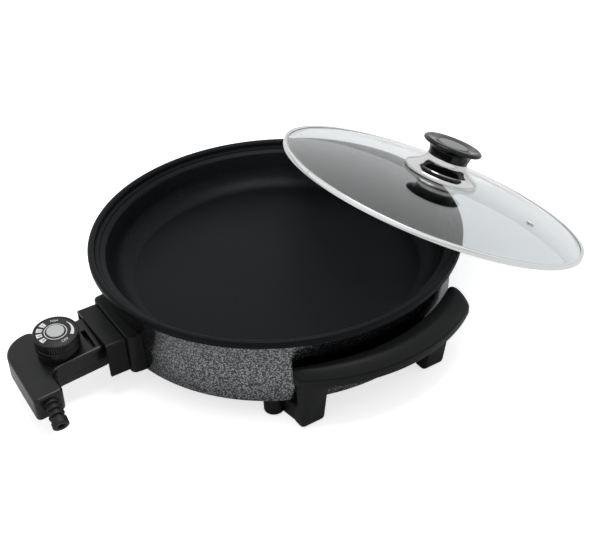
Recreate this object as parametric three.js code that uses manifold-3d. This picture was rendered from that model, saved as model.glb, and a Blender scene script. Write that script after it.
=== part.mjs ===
// A round electric pan on four legs, with a plug-in thermostat probe and a domed glass lid that
// leans against the rim. Millimetres, +Z up. The origin is the centre of the cooking floor, the
// handles lie along X, and the probe plugs in from -Y.
import * as THREE from "three";
import { mergeVertices } from "three/addons/utils/BufferGeometryUtils.js";
import Module from "manifold-3d";

const wasm = await Module();
wasm.setup();

// ---------------------------------------------------------------- driving dimensions
const FIT = 0.3; // clearance between pieces that touch
const FLOOR_HEIGHT = 60; // cooking floor above the table
const TABLE = -FLOOR_HEIGHT;

// Pan casting
const RIM_RADIUS = 200;
const RIM_TOP = 45; // above the cooking floor
const RIM_BAND = 7.5; // height of the plain band round the rim
const RIM_OVERHANG = 4; // rim beyond the top of the skirt
const BEAD_WIDTH = 7.6; // rounded bead on top of the rim
const BEAD_RISE = 6; // bead above the ledge groove
const LEDGE_WIDTH = 3.8; // outer ledge, between the groove and the lid seat
const SEAT_WIDTH = 6.6; // ring that the closed lid sits on
const STEP = 2; // step between the ledge and the seat
const LEDGE_FALL = 0.6; // fall of the ledge towards the seat
const LIP_FALL = 2.6; // fall of the seat to the bowl's lip
const LIP_ROUND = 1.4; // rounding of the bowl's lip
const BEAD_CREST = 0.62; // share of the bead's width at which it is highest
const WALL_FILLET = 27; // radius between floor and bowl wall
const WALL_DRAFT = THREE.MathUtils.degToRad(16.7);
const FLOOR_CREASE = THREE.MathUtils.degToRad(9); // crease where the fillet meets the floor
const FLOOR_THICKNESS = 5;
const SKIRT_DEPTH = 38.8; // skirt below the cooking floor
const SKIRT_TAPER = 9; // skirt radius lost from top to bottom
const SKIRT_WALL = 3;
const CAVITY_TOP = 27; // where skirt and bowl join, above the floor

// Heating element
const ELEMENT_RADIUS = 112;
const ELEMENT_TUBE = 3.6; // tube radius
const BRAZE_GAP = 0.9; // room for the filler round the tube
const EXIT_HALF = 36; // half the gap in the rib where the leads come out
const RIB_HALF_WIDTH = 8; // cast rib that the element is set in
const PIN_SPACING = 12; // each pin to the centre plane
const PIN_RADIUS = 2.4;
const PIN_DROP = 14; // pins below the cooking floor
const BEAD_RADIUS = 5; // ceramic bead on a pin
const SLEEVE_RADIUS = 5; // sensor sleeve, outside
const ROD_RADIUS = 2.9; // sensing rod
const SLEEVE_END = RIM_RADIUS - 75; // closed end of the sleeve, out from the pan axis
const SLEEVE_LENGTH = 60;
const SLEEVE_BORE = ROD_RADIUS + 0.7;
const SLEEVE_FLOOR = 2; // closed end of the sleeve
const LEAD_END = RIM_RADIUS - 16; // outer end of the element's straight leads
const RING_EXIT = 0.24; // angle on each side of the gap in the element's ring
const BOSS_WALL = 1.8; // casting round the sensor sleeve

// Socket bracket
const PROBE_HALF_HEIGHT = 14; // the bracket clears the probe that plugs into it
const PROBE_TOP = PROBE_HALF_HEIGHT - PIN_DROP;
const PROBE_BOTTOM = -PROBE_HALF_HEIGHT - PIN_DROP;
const FLANGE = {
  halfWidth: 43, top: PROBE_TOP + 10, bottom: PROBE_BOTTOM - 7, face: RIM_RADIUS - 1, corner: 6,
};
const COLLAR = {
  halfWidth: 37.3, top: PROBE_TOP + 6.8, bottom: PROBE_BOTTOM - 4.1, length: 20.6, wall: 3.5, back: 3,
  corner: 4,
};
const BRACKET_SCREW_X = 26;
const PIN_WINDOW = 19.5; // half the width of the opening that the pins pass through
const SMALL_SCREW = 2; // radius of an M4 screw
const SCREW_HEAD = { radius: 3.8, height: 2.4 };
const NUT = { radius: 3.8, height: 3 };
const SCREW_BITE = 18; // hole in each handle pillar

// Handles
const GRIP_SHIFT = 13.5; // middle of the grip, behind the pan's centre line
const GRIP_HALF = 104.5; // half the grip's length
const GRIP_OUTER = 179; // radius of the grip's outer edge
const GRIP_CENTRE = RIM_RADIUS + 19.5 - GRIP_OUTER; // centre of the outer edge
const GRIP_INNER = RIM_RADIUS - 6; // radius of the grip's inner edge, about the pan's axis
const GRIP_CORNER = { outer: 12, rear: 7, front: 2 };
const GRIP_CROWN = 11; // top of the grip above the cooking floor
const GRIP_BOTTOM = -7;
const GRIP_WALL = 3;
const POST = {
  inner: 62.6, outer: 84, topFace: RIM_RADIUS - 2.5, footFace: RIM_RADIUS - 13, depth: 16,
};
const WEB = { width: 11, top: TABLE + 20, bottom: TABLE + 2 };
const BOSS = { x: RIM_RADIUS - 54, y: 97, radius: 10.4, bottom: TABLE + 2 };
const PILLAR_RADIUS = 8;
const WASHER = { radius: 4.8, thickness: 1 };

// Lid, in its own frame: origin at the centre of the band's lower edge
const LID_OVERLAP = 2.5; // band beyond the bowl's lip
const LID_OUT = 4.78166; // centre of the lid beyond the rim
const LID_AZIMUTH = THREE.MathUtils.degToRad(87.4); // way that the low side points, from +X
const LID_OFFSET = 6.9; // lid centre beside the line of lean, toward -X of that line
const BAND_SHEET = 0.8;
const BAND_LIP = 4; // how far the band folds in over the glass
const DOME_RISE = 20.2;
const DOME_POWER = 2.6;
const GLASS_THICKNESS = 3.5;
const VENT = { radius: 116, angle: THREE.MathUtils.degToRad(31.6), hole: 3.2, flange: 5, bore: 1.6 };
const KNOB_SKIRT = { base: 44, top: 24.5, height: 21, sheet: 1.6, foot: 2.5 };
const KNOB_SLOT = { length: 46, height: 8, angle: THREE.MathUtils.degToRad(-40) };
const KNOB = { waist: 20, foot: 25, disc: 34, height: 18, rim: 6 };
const KNOB_INSERT_RADIUS = 18;
const KNOB_STEM = 16;
const INSERT = { depth: 2.4, sunk: 1.6, chamfer: 0.6 }; // grey disc in the top of the knob
const GASKET = { radius: 12, thickness: 1.2 };
const KNOB_WASHER = { radius: 8, thickness: 1 };

// Thermostat probe, in its own frame: X across, Y back to the pan, Z up, on the line of the rod.
// Distances out are taken from the face of the flange that the socket is screwed to.
const FACE = FLANGE.face;
const PROBE_ROLL = THREE.MathUtils.degToRad(5.5);
const PROBE_DROOP = 0.08; // fall of the body for each millimetre outward
const PROBE_WALL = 2.5;
const PROBE_SPLIT = -4; // parting plane
const PROBE_LEVEL = FACE + 26; // distance out at which the body is level with the rod
const NECK = { left: -29, right: 23, front: FACE + 20.5 };
const ARM = { left: -42, right: 52, near: FACE + 75, far: FACE + 105, corner: 26, elbow: 9, tip: 5 };
const POCKET = { left: -8, right: 21, near: FACE + 22, far: FACE + 27.5, depth: 8 };
const NOSE = { halfWidth: 20, bottom: -11.5, top: 8, front: FACE + 5.5 };
const TAIL = { halfWidth: 18.5, bottom: -9, top: 3, length: 7 }; // tongue of the nose in the shells
const MOUTH = { near: FACE + 78.5, far: FACE + 97.5, bottom: -14, top: 5 }; // takes the strain relief
const DIAL = { x: -2.5, out: FACE + 57, disc: 22.4, skirt: 21.5, height: 11.3, seat: 22, wall: 2.5 };
const SCALE_DISC = { radius: 20.5, thickness: 0.6 };
const CAP = { radius: 9.5, thickness: 0.9 };
const SHAFT_RADIUS = 3;
const RELIEF = { radius: 7.3, groove: 5.7, bore: 3.6, ribs: 4, pitch: 6.6, flange: 8.4, shank: 9 };
const SHELL_SCREWS = [
  [NECK.left + 7, -FACE - 33], [ARM.left + 13, -FACE - 89], [ARM.right - 24, -FACE - 82],
];
const SHELL_POST = { radius: 4, pilot: 1.2, clear: 1.8, headWell: 3.2, headDepth: 3 };
const SHELL_SCREW = { length: 13, radius: 0.9, head: { radius: 2.6, height: 1.8 } };
const SOCKET = { radius: 4, wall: 0.8, length: 13.5 }; // contact sleeves that the pins push into
const BAR = { halfWidth: 2.5, thickness: 1, length: 24 };
const FRAME = { left: -21, right: 17, half: 9, top: 2, foot: -8, sheet: 1.4 };
const BLADE = { half: 4, bottom: -7.2, top: -6.4 };
const SPRING = { half: 3, bottom: -5, top: -4.5, short: 6 };
const CLAMP = { near: FACE + 80, far: FACE + 95, left: 33, right: 41, thickness: 4 };

// ---------------------------------------------------------------- shapes and solids
const { sin, cos, tan, hypot, atan2, PI } = Math;

// Turns a geometry into a solid that can be cut and joined.
function solidOf(geometry) {
  const bare = geometry.clone();
  for (const name of Object.keys(bare.attributes)) {
    if (name !== "position") bare.deleteAttribute(name);
  }
  const merged = mergeVertices(bare, 1e-4);
  const corners = merged.index.array;
  const kept = [];
  for (let i = 0; i < corners.length; i += 3) {
    const [a, b, c] = [corners[i], corners[i + 1], corners[i + 2]];
    if (a !== b && b !== c && c !== a) kept.push(a, b, c);
  }
  const mesh = new wasm.Mesh({
    numProp: 3,
    vertProperties: new Float32Array(merged.attributes.position.array),
    triVerts: new Uint32Array(kept),
  });
  const made = new wasm.Manifold(mesh);
  if (made.volume() > 0) return made;
  for (let i = 0; i < kept.length; i += 3) [kept[i], kept[i + 1]] = [kept[i + 1], kept[i]];
  return new wasm.Manifold(
    new wasm.Mesh({ numProp: 3, vertProperties: mesh.vertProperties, triVerts: new Uint32Array(kept) }),
  );
}

function geometryOf(solid) {
  const mesh = solid.getMesh();
  const indexed = new THREE.BufferGeometry();
  const places = new Float32Array(mesh.numVert * 3);
  for (let i = 0; i < mesh.numVert; i++) {
    for (let k = 0; k < 3; k++) places[3 * i + k] = mesh.vertProperties[i * mesh.numProp + k];
  }
  indexed.setAttribute("position", new THREE.BufferAttribute(places, 3));
  indexed.setIndex(new THREE.BufferAttribute(new Uint32Array(mesh.triVerts), 1));
  const flat = indexed.toNonIndexed();
  flat.computeVertexNormals();
  return flat;
}

const closed = (geometry) => geometryOf(solidOf(geometry));

function join(...geometries) {
  return geometryOf(geometries.map(solidOf).reduce((a, b) => a.add(b)));
}

function cut(geometry, ...tools) {
  return geometryOf(tools.map(solidOf).reduce((a, b) => a.subtract(b), solidOf(geometry)));
}

function common(a, b) {
  return geometryOf(solidOf(a).intersect(solidOf(b)));
}

// Points [radius, height] along an arc, both ends included.
function arc(centreR, centreZ, radius, from, to, steps) {
  return Array.from({ length: steps + 1 }, (_, i) => {
    const angle = from + ((to - from) * i) / steps;
    return [centreR + radius * cos(angle), centreZ + radius * sin(angle)];
  });
}

// A solid of revolution about Z. The profile starts and ends on the axis, or closes on itself.
function lathe(profile, segments = 48) {
  const [first, last] = [profile[0], profile[profile.length - 1]];
  const open = first[0] > 0 && hypot(first[0] - last[0], first[1] - last[1]) > 1e-6;
  const path = open ? [...profile, first] : profile;
  const points = path.map(([r, z]) => new THREE.Vector2(r, z));
  return closed(new THREE.LatheGeometry(points, segments).rotateX(PI / 2));
}

// A plain cylinder along Z, from one height to another.
function rod(radius, z0, z1, segments = 24, topRadius = radius) {
  const made = new THREE.CylinderGeometry(topRadius, radius, z1 - z0, segments);
  return made.rotateX(PI / 2).translate(0, 0, (z0 + z1) / 2);
}

// A plain cylinder along Y, between two distances out from the pan axis.
function rodOut(radius, near, far, x, z, segments = 24) {
  const made = new THREE.CylinderGeometry(radius, radius, far - near, segments);
  return made.translate(x, -(near + far) / 2, z);
}

function box(x0, x1, y0, y1, z0, z1) {
  const made = new THREE.BoxGeometry(x1 - x0, y1 - y0, z1 - z0);
  return made.translate((x0 + x1) / 2, (y0 + y1) / 2, (z0 + z1) / 2);
}

// An outline through corners [x, y, radius], counterclockwise, with each corner rounded.
function outline(corners) {
  const shape = new THREE.Shape();
  const count = corners.length;
  const point = (i) => new THREE.Vector2(corners[(i + count) % count][0], corners[(i + count) % count][1]);
  corners.forEach(([, , radius = 0], i) => {
    const here = point(i);
    const back = point(i - 1).sub(here).normalize();
    const on = point(i + 1).sub(here).normalize();
    if (radius === 0) {
      if (i === 0) shape.moveTo(here.x, here.y);
      else shape.lineTo(here.x, here.y);
      return;
    }
    const half = Math.acos(back.dot(on)) / 2;
    const start = here.clone().addScaledVector(back, radius / tan(half));
    const end = here.clone().addScaledVector(on, radius / tan(half));
    const middle = here.clone().addScaledVector(back.clone().add(on).normalize(), radius / sin(half));
    if (i === 0) shape.moveTo(start.x, start.y);
    const from = atan2(start.y - middle.y, start.x - middle.x);
    const to = atan2(end.y - middle.y, end.x - middle.x);
    shape.absarc(middle.x, middle.y, radius, from, to, back.cross(on) > 0);
  });
  shape.closePath();
  return shape;
}

const rectangle = (x0, x1, y0, y1, r) =>
  outline([[x0, y0, r], [x1, y0, r], [x1, y1, r], [x0, y1, r]]);

function slab(shape, z0, z1, bevel = 0) {
  const made = new THREE.ExtrudeGeometry(shape, {
    depth: z1 - z0 - 2 * bevel,
    bevelEnabled: bevel > 0,
    bevelThickness: bevel,
    bevelSize: bevel,
    bevelOffset: -bevel,
    bevelSegments: 1,
    curveSegments: 2,
  });
  return closed(made.translate(0, 0, z0 + bevel));
}

// A slab standing upright: its outline is in X and Z, and it runs between two distances out.
function slabOut(shape, near, far) {
  return slab(shape, near, far).rotateX(PI / 2);
}

const finish = (color, roughness, metalness = 0) => ({ color, roughness, metalness });
const FINISH = {
  casting: finish("#3d4043", 0.45, 0.2),
  steel: finish("#b9bcbe", 0.3, 1),
  brass: finish("#c2a35a", 0.35, 1),
  ceramic: finish("#e9e4d8", 0.6),
  phenolic: finish("#2a2d2f", 0.5),
  probe: finish("#35383a", 0.45),
  rubber: finish("#26282a", 0.7),
  glass: finish("#dfe8e8", 0.05),
  gloss: finish("#141516", 0.15),
  insert: finish("#7d8082", 0.6),
  print: finish("#d9dadb", 0.5),
};

const root = new THREE.Group();

function piece(name, geometry, look, parent = root) {
  const mesh = new THREE.Mesh(geometry, new THREE.MeshStandardMaterial(FINISH[look]));
  mesh.name = name;
  parent.add(mesh);
  return mesh;
}

const SIDES = [["left", -1], ["right", 1]];

// ---------------------------------------------------------------- pan casting
const BEAD_INNER = RIM_RADIUS - BEAD_WIDTH;
const GROOVE_HEIGHT = RIM_TOP - BEAD_RISE;
const SEAT_OUTER = BEAD_INNER - LEDGE_WIDTH;
const LIP_RADIUS = SEAT_OUTER - SEAT_WIDTH;
const SEAT_HEIGHT = GROOVE_HEIGHT - LEDGE_FALL - STEP;
const LIP_HEIGHT = SEAT_HEIGHT - LIP_FALL;
const BAND_FOOT = RIM_TOP - RIM_BAND;

// The bowl wall falls from the lip at its draft and runs tangent into the fillet.
const filletZ = WALL_FILLET * cos(FLOOR_CREASE);
const filletR = LIP_RADIUS - (WALL_FILLET + (LIP_HEIGHT - filletZ) * sin(WALL_DRAFT)) / cos(WALL_DRAFT);
const UNDERSIDE = -FLOOR_THICKNESS;
const outerFillet = filletZ + FLOOR_THICKNESS;
const ELEMENT_Z = UNDERSIDE - ELEMENT_TUBE - BRAZE_GAP - 1;

const skirtRadius = (z) =>
  RIM_RADIUS - RIM_OVERHANG - (SKIRT_TAPER * (BAND_FOOT - z)) / (BAND_FOOT + SKIRT_DEPTH);

// The side of the bowl at a given fillet radius, from the floor up to a height.
function bowlSide(fillet, floorAngle, topZ) {
  const curve = arc(filletR, filletZ, fillet, floorAngle, -WALL_DRAFT, 4);
  const [r, z] = curve[curve.length - 1];
  return [...curve, [r + (topZ - z) * tan(WALL_DRAFT), topZ]];
}

function rimProfile() {
  const crest = BEAD_INNER + BEAD_CREST * BEAD_WIDTH;
  return [
    [LIP_RADIUS + LIP_ROUND, LIP_HEIGHT + 0.86 * LIP_ROUND],
    [SEAT_OUTER - 0.6, SEAT_HEIGHT],
    [SEAT_OUTER, SEAT_HEIGHT + STEP],
    [BEAD_INNER - 0.8, GROOVE_HEIGHT],
    [BEAD_INNER, GROOVE_HEIGHT],
    [BEAD_INNER + 2.2, RIM_TOP - 1.6],
    [crest, RIM_TOP],
    [RIM_RADIUS - 1, RIM_TOP - 0.6],
    [RIM_RADIUS, RIM_TOP - 2],
    [RIM_RADIUS, BAND_FOOT],
    [skirtRadius(BAND_FOOT), BAND_FOOT],
  ];
}

function panProfile() {
  const groove = ELEMENT_TUBE + BRAZE_GAP;
  const ribFoot = ELEMENT_Z;
  return [
    [0, 0],
    ...bowlSide(WALL_FILLET, FLOOR_CREASE - PI / 2, LIP_HEIGHT),
    ...rimProfile(),
    [skirtRadius(-SKIRT_DEPTH), -SKIRT_DEPTH],
    [skirtRadius(-SKIRT_DEPTH) - SKIRT_WALL, -SKIRT_DEPTH],
    [skirtRadius(CAVITY_TOP) - SKIRT_WALL, CAVITY_TOP],
    ...bowlSide(outerFillet, -PI / 2, CAVITY_TOP).reverse(),
    [ELEMENT_RADIUS + RIB_HALF_WIDTH, UNDERSIDE],
    [ELEMENT_RADIUS + RIB_HALF_WIDTH, ribFoot],
    ...arc(ELEMENT_RADIUS, ribFoot, groove, 0, PI, 4),
    [ELEMENT_RADIUS - RIB_HALF_WIDTH, ribFoot],
    [ELEMENT_RADIUS - RIB_HALF_WIDTH, UNDERSIDE],
    [0, UNDERSIDE],
  ];
}
// A pillar stands under the bowl at each screw boss; its top is hidden inside the bowl wall.
const PILLAR_FOOT = -SKIRT_DEPTH + FIT;
const BOSS_TOP = PILLAR_FOOT - FIT - 0.3;
function panCasting() {
  const wallMiddle = (WALL_FILLET + outerFillet) / 2;
  const aboveWall = lathe([
    [0, UNDERSIDE / 2],
    ...bowlSide(wallMiddle, -PI / 2, CAVITY_TOP),
    [0, CAVITY_TOP],
  ]);
  const pillars = [];
  const holes = [];
  for (const [, side] of SIDES) {
    for (const [, end] of SIDES) {
      const [x, y] = [side * BOSS.x, end * BOSS.y];
      pillars.push(cut(rod(PILLAR_RADIUS, PILLAR_FOOT, filletZ / 2).translate(x, y, 0), aboveWall));
      holes.push(rod(SMALL_SCREW + FIT, PILLAR_FOOT - 1, PILLAR_FOOT + SCREW_BITE, 12).translate(x, y, 0));
    }
  }
  const bossHalf = SLEEVE_RADIUS + FIT + BOSS_WALL;
  const sleeveBoss = box(
    -bossHalf, bossHalf, -SLEEVE_END - SLEEVE_LENGTH / 2, -SLEEVE_END,
    -PIN_DROP - SLEEVE_RADIUS - 2.5, UNDERSIDE / 2,
  );
  const window = slabOut(
    rectangle(-PIN_WINDOW, PIN_WINDOW, -PIN_DROP - 9, -PIN_DROP + 9, 4), skirtRadius(0) - 25, RIM_RADIUS,
  );
  const elementExit = box(
    -EXIT_HALF, EXIT_HALF, -ELEMENT_RADIUS - 2 * RIB_HALF_WIDTH, -ELEMENT_RADIUS + 1.5 * RIB_HALF_WIDTH,
    -20, UNDERSIDE,
  );
  const screwHoles = SIDES.map(([, side]) =>
    rodOut(SMALL_SCREW + FIT, skirtRadius(0) - 30, RIM_RADIUS, side * BRACKET_SCREW_X, -PIN_DROP, 12));
  const body = cut(join(lathe(panProfile()), ...pillars), elementExit);
  return cut(
    join(body, sleeveBoss), window, ...screwHoles, ...holes,
    rodOut(SLEEVE_RADIUS + FIT, SLEEVE_END - 5, RIM_RADIUS, 0, -PIN_DROP),
  );
}
piece("pan_casting", panCasting(), "casting");

// ---------------------------------------------------------------- heating element and its ends
function elementPath() {
  const ring = [];
  const count = 34;
  for (let i = 0; i <= count; i++) {
    const angle = -PI / 2 + RING_EXIT + ((2 * PI - 2 * RING_EXIT) * i) / count;
    ring.push([ELEMENT_RADIUS * cos(angle), ELEMENT_RADIUS * sin(angle), ELEMENT_Z]);
  }
  const bend = ELEMENT_RADIUS + 7;
  const lead = (side) => [
    [side * PIN_SPACING, -LEAD_END, -PIN_DROP],
    [side * PIN_SPACING, -(LEAD_END + 2 * bend) / 3, -PIN_DROP],
    [side * PIN_SPACING, -bend - 12, -PIN_DROP + 1],
    [side * (PIN_SPACING + 4), -bend + 1, ELEMENT_Z - 0.5],
  ];
  const points = [...lead(1), ...ring, ...lead(-1).reverse()];
  return new THREE.CatmullRomCurve3(points.map(([x, y, z]) => new THREE.Vector3(x, y, z)));
}

function tubeAlong(path, radius, steps, sides) {
  const section = new THREE.Shape(
    Array.from({ length: sides }, (_, i) => {
      const angle = (2 * PI * i) / sides;
      return new THREE.Vector2(radius * cos(angle), radius * sin(angle));
    }),
  );
  return closed(new THREE.ExtrudeGeometry(section, { steps, extrudePath: path, bevelEnabled: false }));
}
piece("heating_element", tubeAlong(elementPath(), ELEMENT_TUBE, 64, 7), "steel");

// A ring or a stepped bush along Y, from a profile [radius, distance out].
function latheOut(profile, segments = 24) {
  return lathe(profile, segments).rotateX(PI / 2);
}

const PIN_END = FLANGE.face + FIT + COLLAR.back + 10;
for (const [name, side] of SIDES) {
  const x = side * PIN_SPACING;
  piece(`terminal_pin_${name}`, closed(rodOut(PIN_RADIUS, LEAD_END + FIT, PIN_END, 0, 0, 16)), "steel")
    .position.set(x, 0, -PIN_DROP);
  const [near, far] = [LEAD_END + 3, FLANGE.face - 0.5];
  const bore = PIN_RADIUS + FIT;
  const bead = latheOut([[bore, near], [BEAD_RADIUS, near], [BEAD_RADIUS, far], [bore, far]], 16);
  piece(`ceramic_bead_${name}`, bead, "ceramic").position.set(x, 0, -PIN_DROP);
}

const sleeve = latheOut([
  [0, SLEEVE_END], [SLEEVE_RADIUS, SLEEVE_END],
  [SLEEVE_RADIUS, SLEEVE_END + SLEEVE_LENGTH], [SLEEVE_BORE, SLEEVE_END + SLEEVE_LENGTH],
  [SLEEVE_BORE, SLEEVE_END + SLEEVE_FLOOR], [0, SLEEVE_END + SLEEVE_FLOOR],
], 16);
piece("sensor_sleeve", sleeve, "steel").position.set(0, 0, -PIN_DROP);

// ---------------------------------------------------------------- socket bracket
const wallCone = (z0, z1, gap) =>
  lathe([[0, z0], [skirtRadius(z0) + gap, z0], [skirtRadius(z1) + gap, z1], [0, z1]]);

function socketFlange() {
  const { halfWidth, face, corner, bottom, top } = FLANGE;
  const inside = skirtRadius(0) - 40; // well within the wall, which the cone cuts away
  const block = slab(outline([
    [-halfWidth, -face, corner], [halfWidth, -face, corner], [halfWidth, -inside], [-halfWidth, -inside],
  ]), bottom, top);
  const bores = [-PIN_SPACING, 0, PIN_SPACING].map((x) =>
    rodOut(BEAD_RADIUS + FIT, inside, face + 1, x, -PIN_DROP, 16));
  const holes = SIDES.map(([, side]) =>
    rodOut(SMALL_SCREW + FIT, inside, face + 1, side * BRACKET_SCREW_X, -PIN_DROP, 12));
  return cut(block, wallCone(-SKIRT_DEPTH - 5, BAND_FOOT, FIT), ...bores, ...holes);
}
piece("socket_flange", socketFlange(), "phenolic");

const COLLAR_NEAR = FLANGE.face + FIT;
const COLLAR_FAR = COLLAR_NEAR + COLLAR.length;
const COLLAR_SEAT = COLLAR_NEAR + COLLAR.back;
function socketCollar() {
  const { halfWidth, top, bottom, wall, corner } = COLLAR;
  const hood = slabOut(rectangle(-halfWidth, halfWidth, bottom, top, corner), COLLAR_NEAR, COLLAR_FAR);
  const inside = box(
    -halfWidth + wall, halfWidth - wall, -COLLAR_FAR - 1, -COLLAR_SEAT, bottom - 1, top - wall,
  );
  const opening = slabOut(
    rectangle(-PIN_WINDOW, PIN_WINDOW, -PIN_DROP - 8, -PIN_DROP + 8, 2), COLLAR_NEAR - 1, COLLAR_SEAT + 1,
  );
  const holes = SIDES.map(([, side]) =>
    rodOut(SMALL_SCREW + FIT, COLLAR_NEAR - 1, COLLAR_SEAT + 1, side * BRACKET_SCREW_X, -PIN_DROP, 12));
  return cut(hood, inside, opening, ...holes);
}
piece("socket_collar", socketCollar(), "phenolic");

// A pan-head screw: the shank runs up from z = 0 and the head lies below it.
function screw(length, radius = SMALL_SCREW, head = SCREW_HEAD) {
  return lathe([
    [0, -head.height], [head.radius - 0.8, -head.height], [head.radius, -head.height + 0.8],
    [head.radius, 0], [radius, 0], [radius, length], [0, length],
  ], 8);
}

for (const [name, side] of SIDES) {
  const x = side * BRACKET_SCREW_X;
  const inside = skirtRadius(-PIN_DROP) - SKIRT_WALL;
  const nutOut = Math.sqrt(inside ** 2 - (BRACKET_SCREW_X + NUT.radius) ** 2) - 1.2;
  const bolt = piece(`bracket_screw_${name}`, screw(COLLAR_SEAT + FIT - nutOut + NUT.height + 1), "steel");
  bolt.rotation.x = -PI / 2;
  bolt.position.set(x, -COLLAR_SEAT - FIT, -PIN_DROP);
  const nut = cut(
    rodOut(NUT.radius, nutOut - NUT.height, nutOut, 0, 0, 6),
    rodOut(SMALL_SCREW + FIT, 0, RIM_RADIUS, 0, 0, 12),
  );
  piece(`bracket_nut_${name}`, nut, "steel").position.set(x, 0, -PIN_DROP);
}

// ---------------------------------------------------------------- handles
// Where the round of an outer corner of the grip is centred, and its direction from the middle.
function outerCorner(inset) {
  const radius = GRIP_CORNER.outer - inset;
  const y = GRIP_HALF - inset - radius;
  const x = Math.sqrt((GRIP_OUTER - inset - radius) ** 2 - y ** 2);
  return { x, y, radius, angle: atan2(y, x) };
}

// The same for a corner next to the pan, seen from the pan's axis. End is 1 at the rear.
function innerCorner(end, size, inset) {
  const radius = Math.max(size - inset, 1);
  const y = GRIP_SHIFT + end * (GRIP_HALF - inset - radius);
  const x = Math.sqrt((GRIP_INNER + inset + radius) ** 2 - y ** 2);
  return { x, y, radius, angle: atan2(y, x) };
}

// The grip in plan: a bowed outer edge, an inner edge that follows the skirt, and square ends
// with round corners.
function crescent(inset) {
  const outer = outerCorner(inset);
  const [rear, front] = [innerCorner(1, GRIP_CORNER.rear, inset), innerCorner(-1, GRIP_CORNER.front, inset)];
  const [x, y] = [GRIP_CENTRE + outer.x, GRIP_SHIFT + outer.y];
  const points = [
    ...arc(GRIP_CENTRE, GRIP_SHIFT, GRIP_OUTER - inset, -outer.angle, outer.angle, 10),
    ...arc(x, y, outer.radius, outer.angle, PI / 2, 3).slice(1),
    ...arc(rear.x, rear.y, rear.radius, PI / 2, PI + rear.angle, 4),
    ...arc(0, 0, GRIP_INNER + inset, rear.angle, front.angle, 10).slice(1, -1),
    ...arc(front.x, front.y, front.radius, PI + front.angle, 1.5 * PI, 2),
    ...arc(x, y - 2 * outer.y, outer.radius, -PI / 2, -outer.angle, 3).slice(0, -1),
  ];
  return new THREE.Shape(points.map(([px, py]) => new THREE.Vector2(px, py)));
}

// The top of the grip: highest a third of the way out, falling away to the outer edge.
function crown(drop) {
  const [inner, outer, top] = [GRIP_INNER - GRIP_CENTRE, GRIP_OUTER, GRIP_CROWN - drop];
  return lathe([
    [inner - 8, GRIP_BOTTOM - 9], [outer + 8, GRIP_BOTTOM - 9], [outer + 8, top - 17],
    [outer, top - 10], [outer - 2, top - 7.2], [outer - 6, top - 3.4], [outer - 10, top - 1],
    [inner + 6, top], [inner + 2.5, top - 0.9], [inner, top - 3], [inner - 8, top - 11],
  ], 40).translate(GRIP_CENTRE, GRIP_SHIFT, 0);
}

// All that lies inboard of the grip's outer edge, which trims the front post.
function inboard() {
  const reach = outerCorner(0).angle * 1.2;
  const edge = arc(GRIP_CENTRE, GRIP_SHIFT, GRIP_OUTER, -reach, reach, 12);
  return slab(outline([...edge, [GRIP_CENTRE, GRIP_SHIFT]]), TABLE - 1, GRIP_CROWN);
}

function post(end) {
  const { inner, outer, topFace, footFace, depth } = POST;
  const rootTop = GRIP_BOTTOM + GRIP_WALL;
  const side = outline([
    [footFace - depth, TABLE, 3], [footFace, TABLE, 4], [topFace, GRIP_BOTTOM], [topFace, rootTop + 5],
    [topFace - depth + 3, rootTop + 5], [topFace - depth + 3, GRIP_BOTTOM],
    [footFace - depth, GRIP_BOTTOM],
  ]);
  const near = end > 0 ? inner : -outer;
  return slab(side, near, near + outer - inner).rotateX(PI / 2).scale(1, -1, 1);
}

function web(end) {
  const from = new THREE.Vector2(BOSS.x, end * BOSS.y);
  const to = new THREE.Vector2(POST.footFace - POST.depth / 2, (end * (POST.inner + POST.outer)) / 2);
  const length = from.distanceTo(to);
  return box(0, length, -WEB.width / 2, WEB.width / 2, WEB.bottom, WEB.top)
    .rotateZ(atan2(to.y - from.y, to.x - from.x))
    .translate(from.x, from.y, 0);
}

const SHOULDER = WEB.bottom + 6; // seat of the washer in the boss
function handle() {
  const grip = cut(
    common(slab(crescent(0), GRIP_BOTTOM, GRIP_CROWN + 2), crown(0)),
    common(slab(crescent(GRIP_WALL), GRIP_BOTTOM - 1, GRIP_CROWN + 2), crown(GRIP_WALL)),
  );
  const limbs = [1, -1].flatMap((end) => [
    common(post(end), inboard()),
    web(end),
    closed(rod(BOSS.radius, BOSS.bottom, BOSS_TOP).translate(BOSS.x, end * BOSS.y, 0)),
  ]);
  const holes = [1, -1].flatMap((end) => [
    rod(SMALL_SCREW + FIT, BOSS.bottom - 1, BOSS_TOP + 1, 12).translate(BOSS.x, end * BOSS.y, 0),
    rod(WASHER.radius + FIT, BOSS.bottom - 1, SHOULDER, 16).translate(BOSS.x, end * BOSS.y, 0),
  ]);
  return cut(join(grip, ...limbs), wallCone(-SKIRT_DEPTH - FIT, BAND_FOOT, 2 * FIT), ...holes);
}

const washerRing = lathe([
  [SMALL_SCREW + FIT, 0], [WASHER.radius, 0], [WASHER.radius, WASHER.thickness],
  [SMALL_SCREW + FIT, WASHER.thickness],
], 12);
const handleScrewTip = PILLAR_FOOT + SCREW_BITE - 1.5;
const handleScrew = screw(handleScrewTip - SHOULDER + WASHER.thickness + 2 * FIT);
for (const [name, side] of SIDES) {
  const grip = handle();
  piece(`handle_${name}`, grip, "phenolic").rotation.z = side > 0 ? 0 : PI;
  for (const [end, y] of [["front", -BOSS.y], ["rear", BOSS.y]]) {
    const washerZ = SHOULDER - FIT - WASHER.thickness;
    piece(`handle_washer_${name}_${end}`, washerRing, "steel").position.set(side * BOSS.x, y, washerZ);
    piece(`handle_screw_${name}_${end}`, handleScrew, "steel")
      .position.set(side * BOSS.x, y, washerZ - FIT);
  }
}

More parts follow.
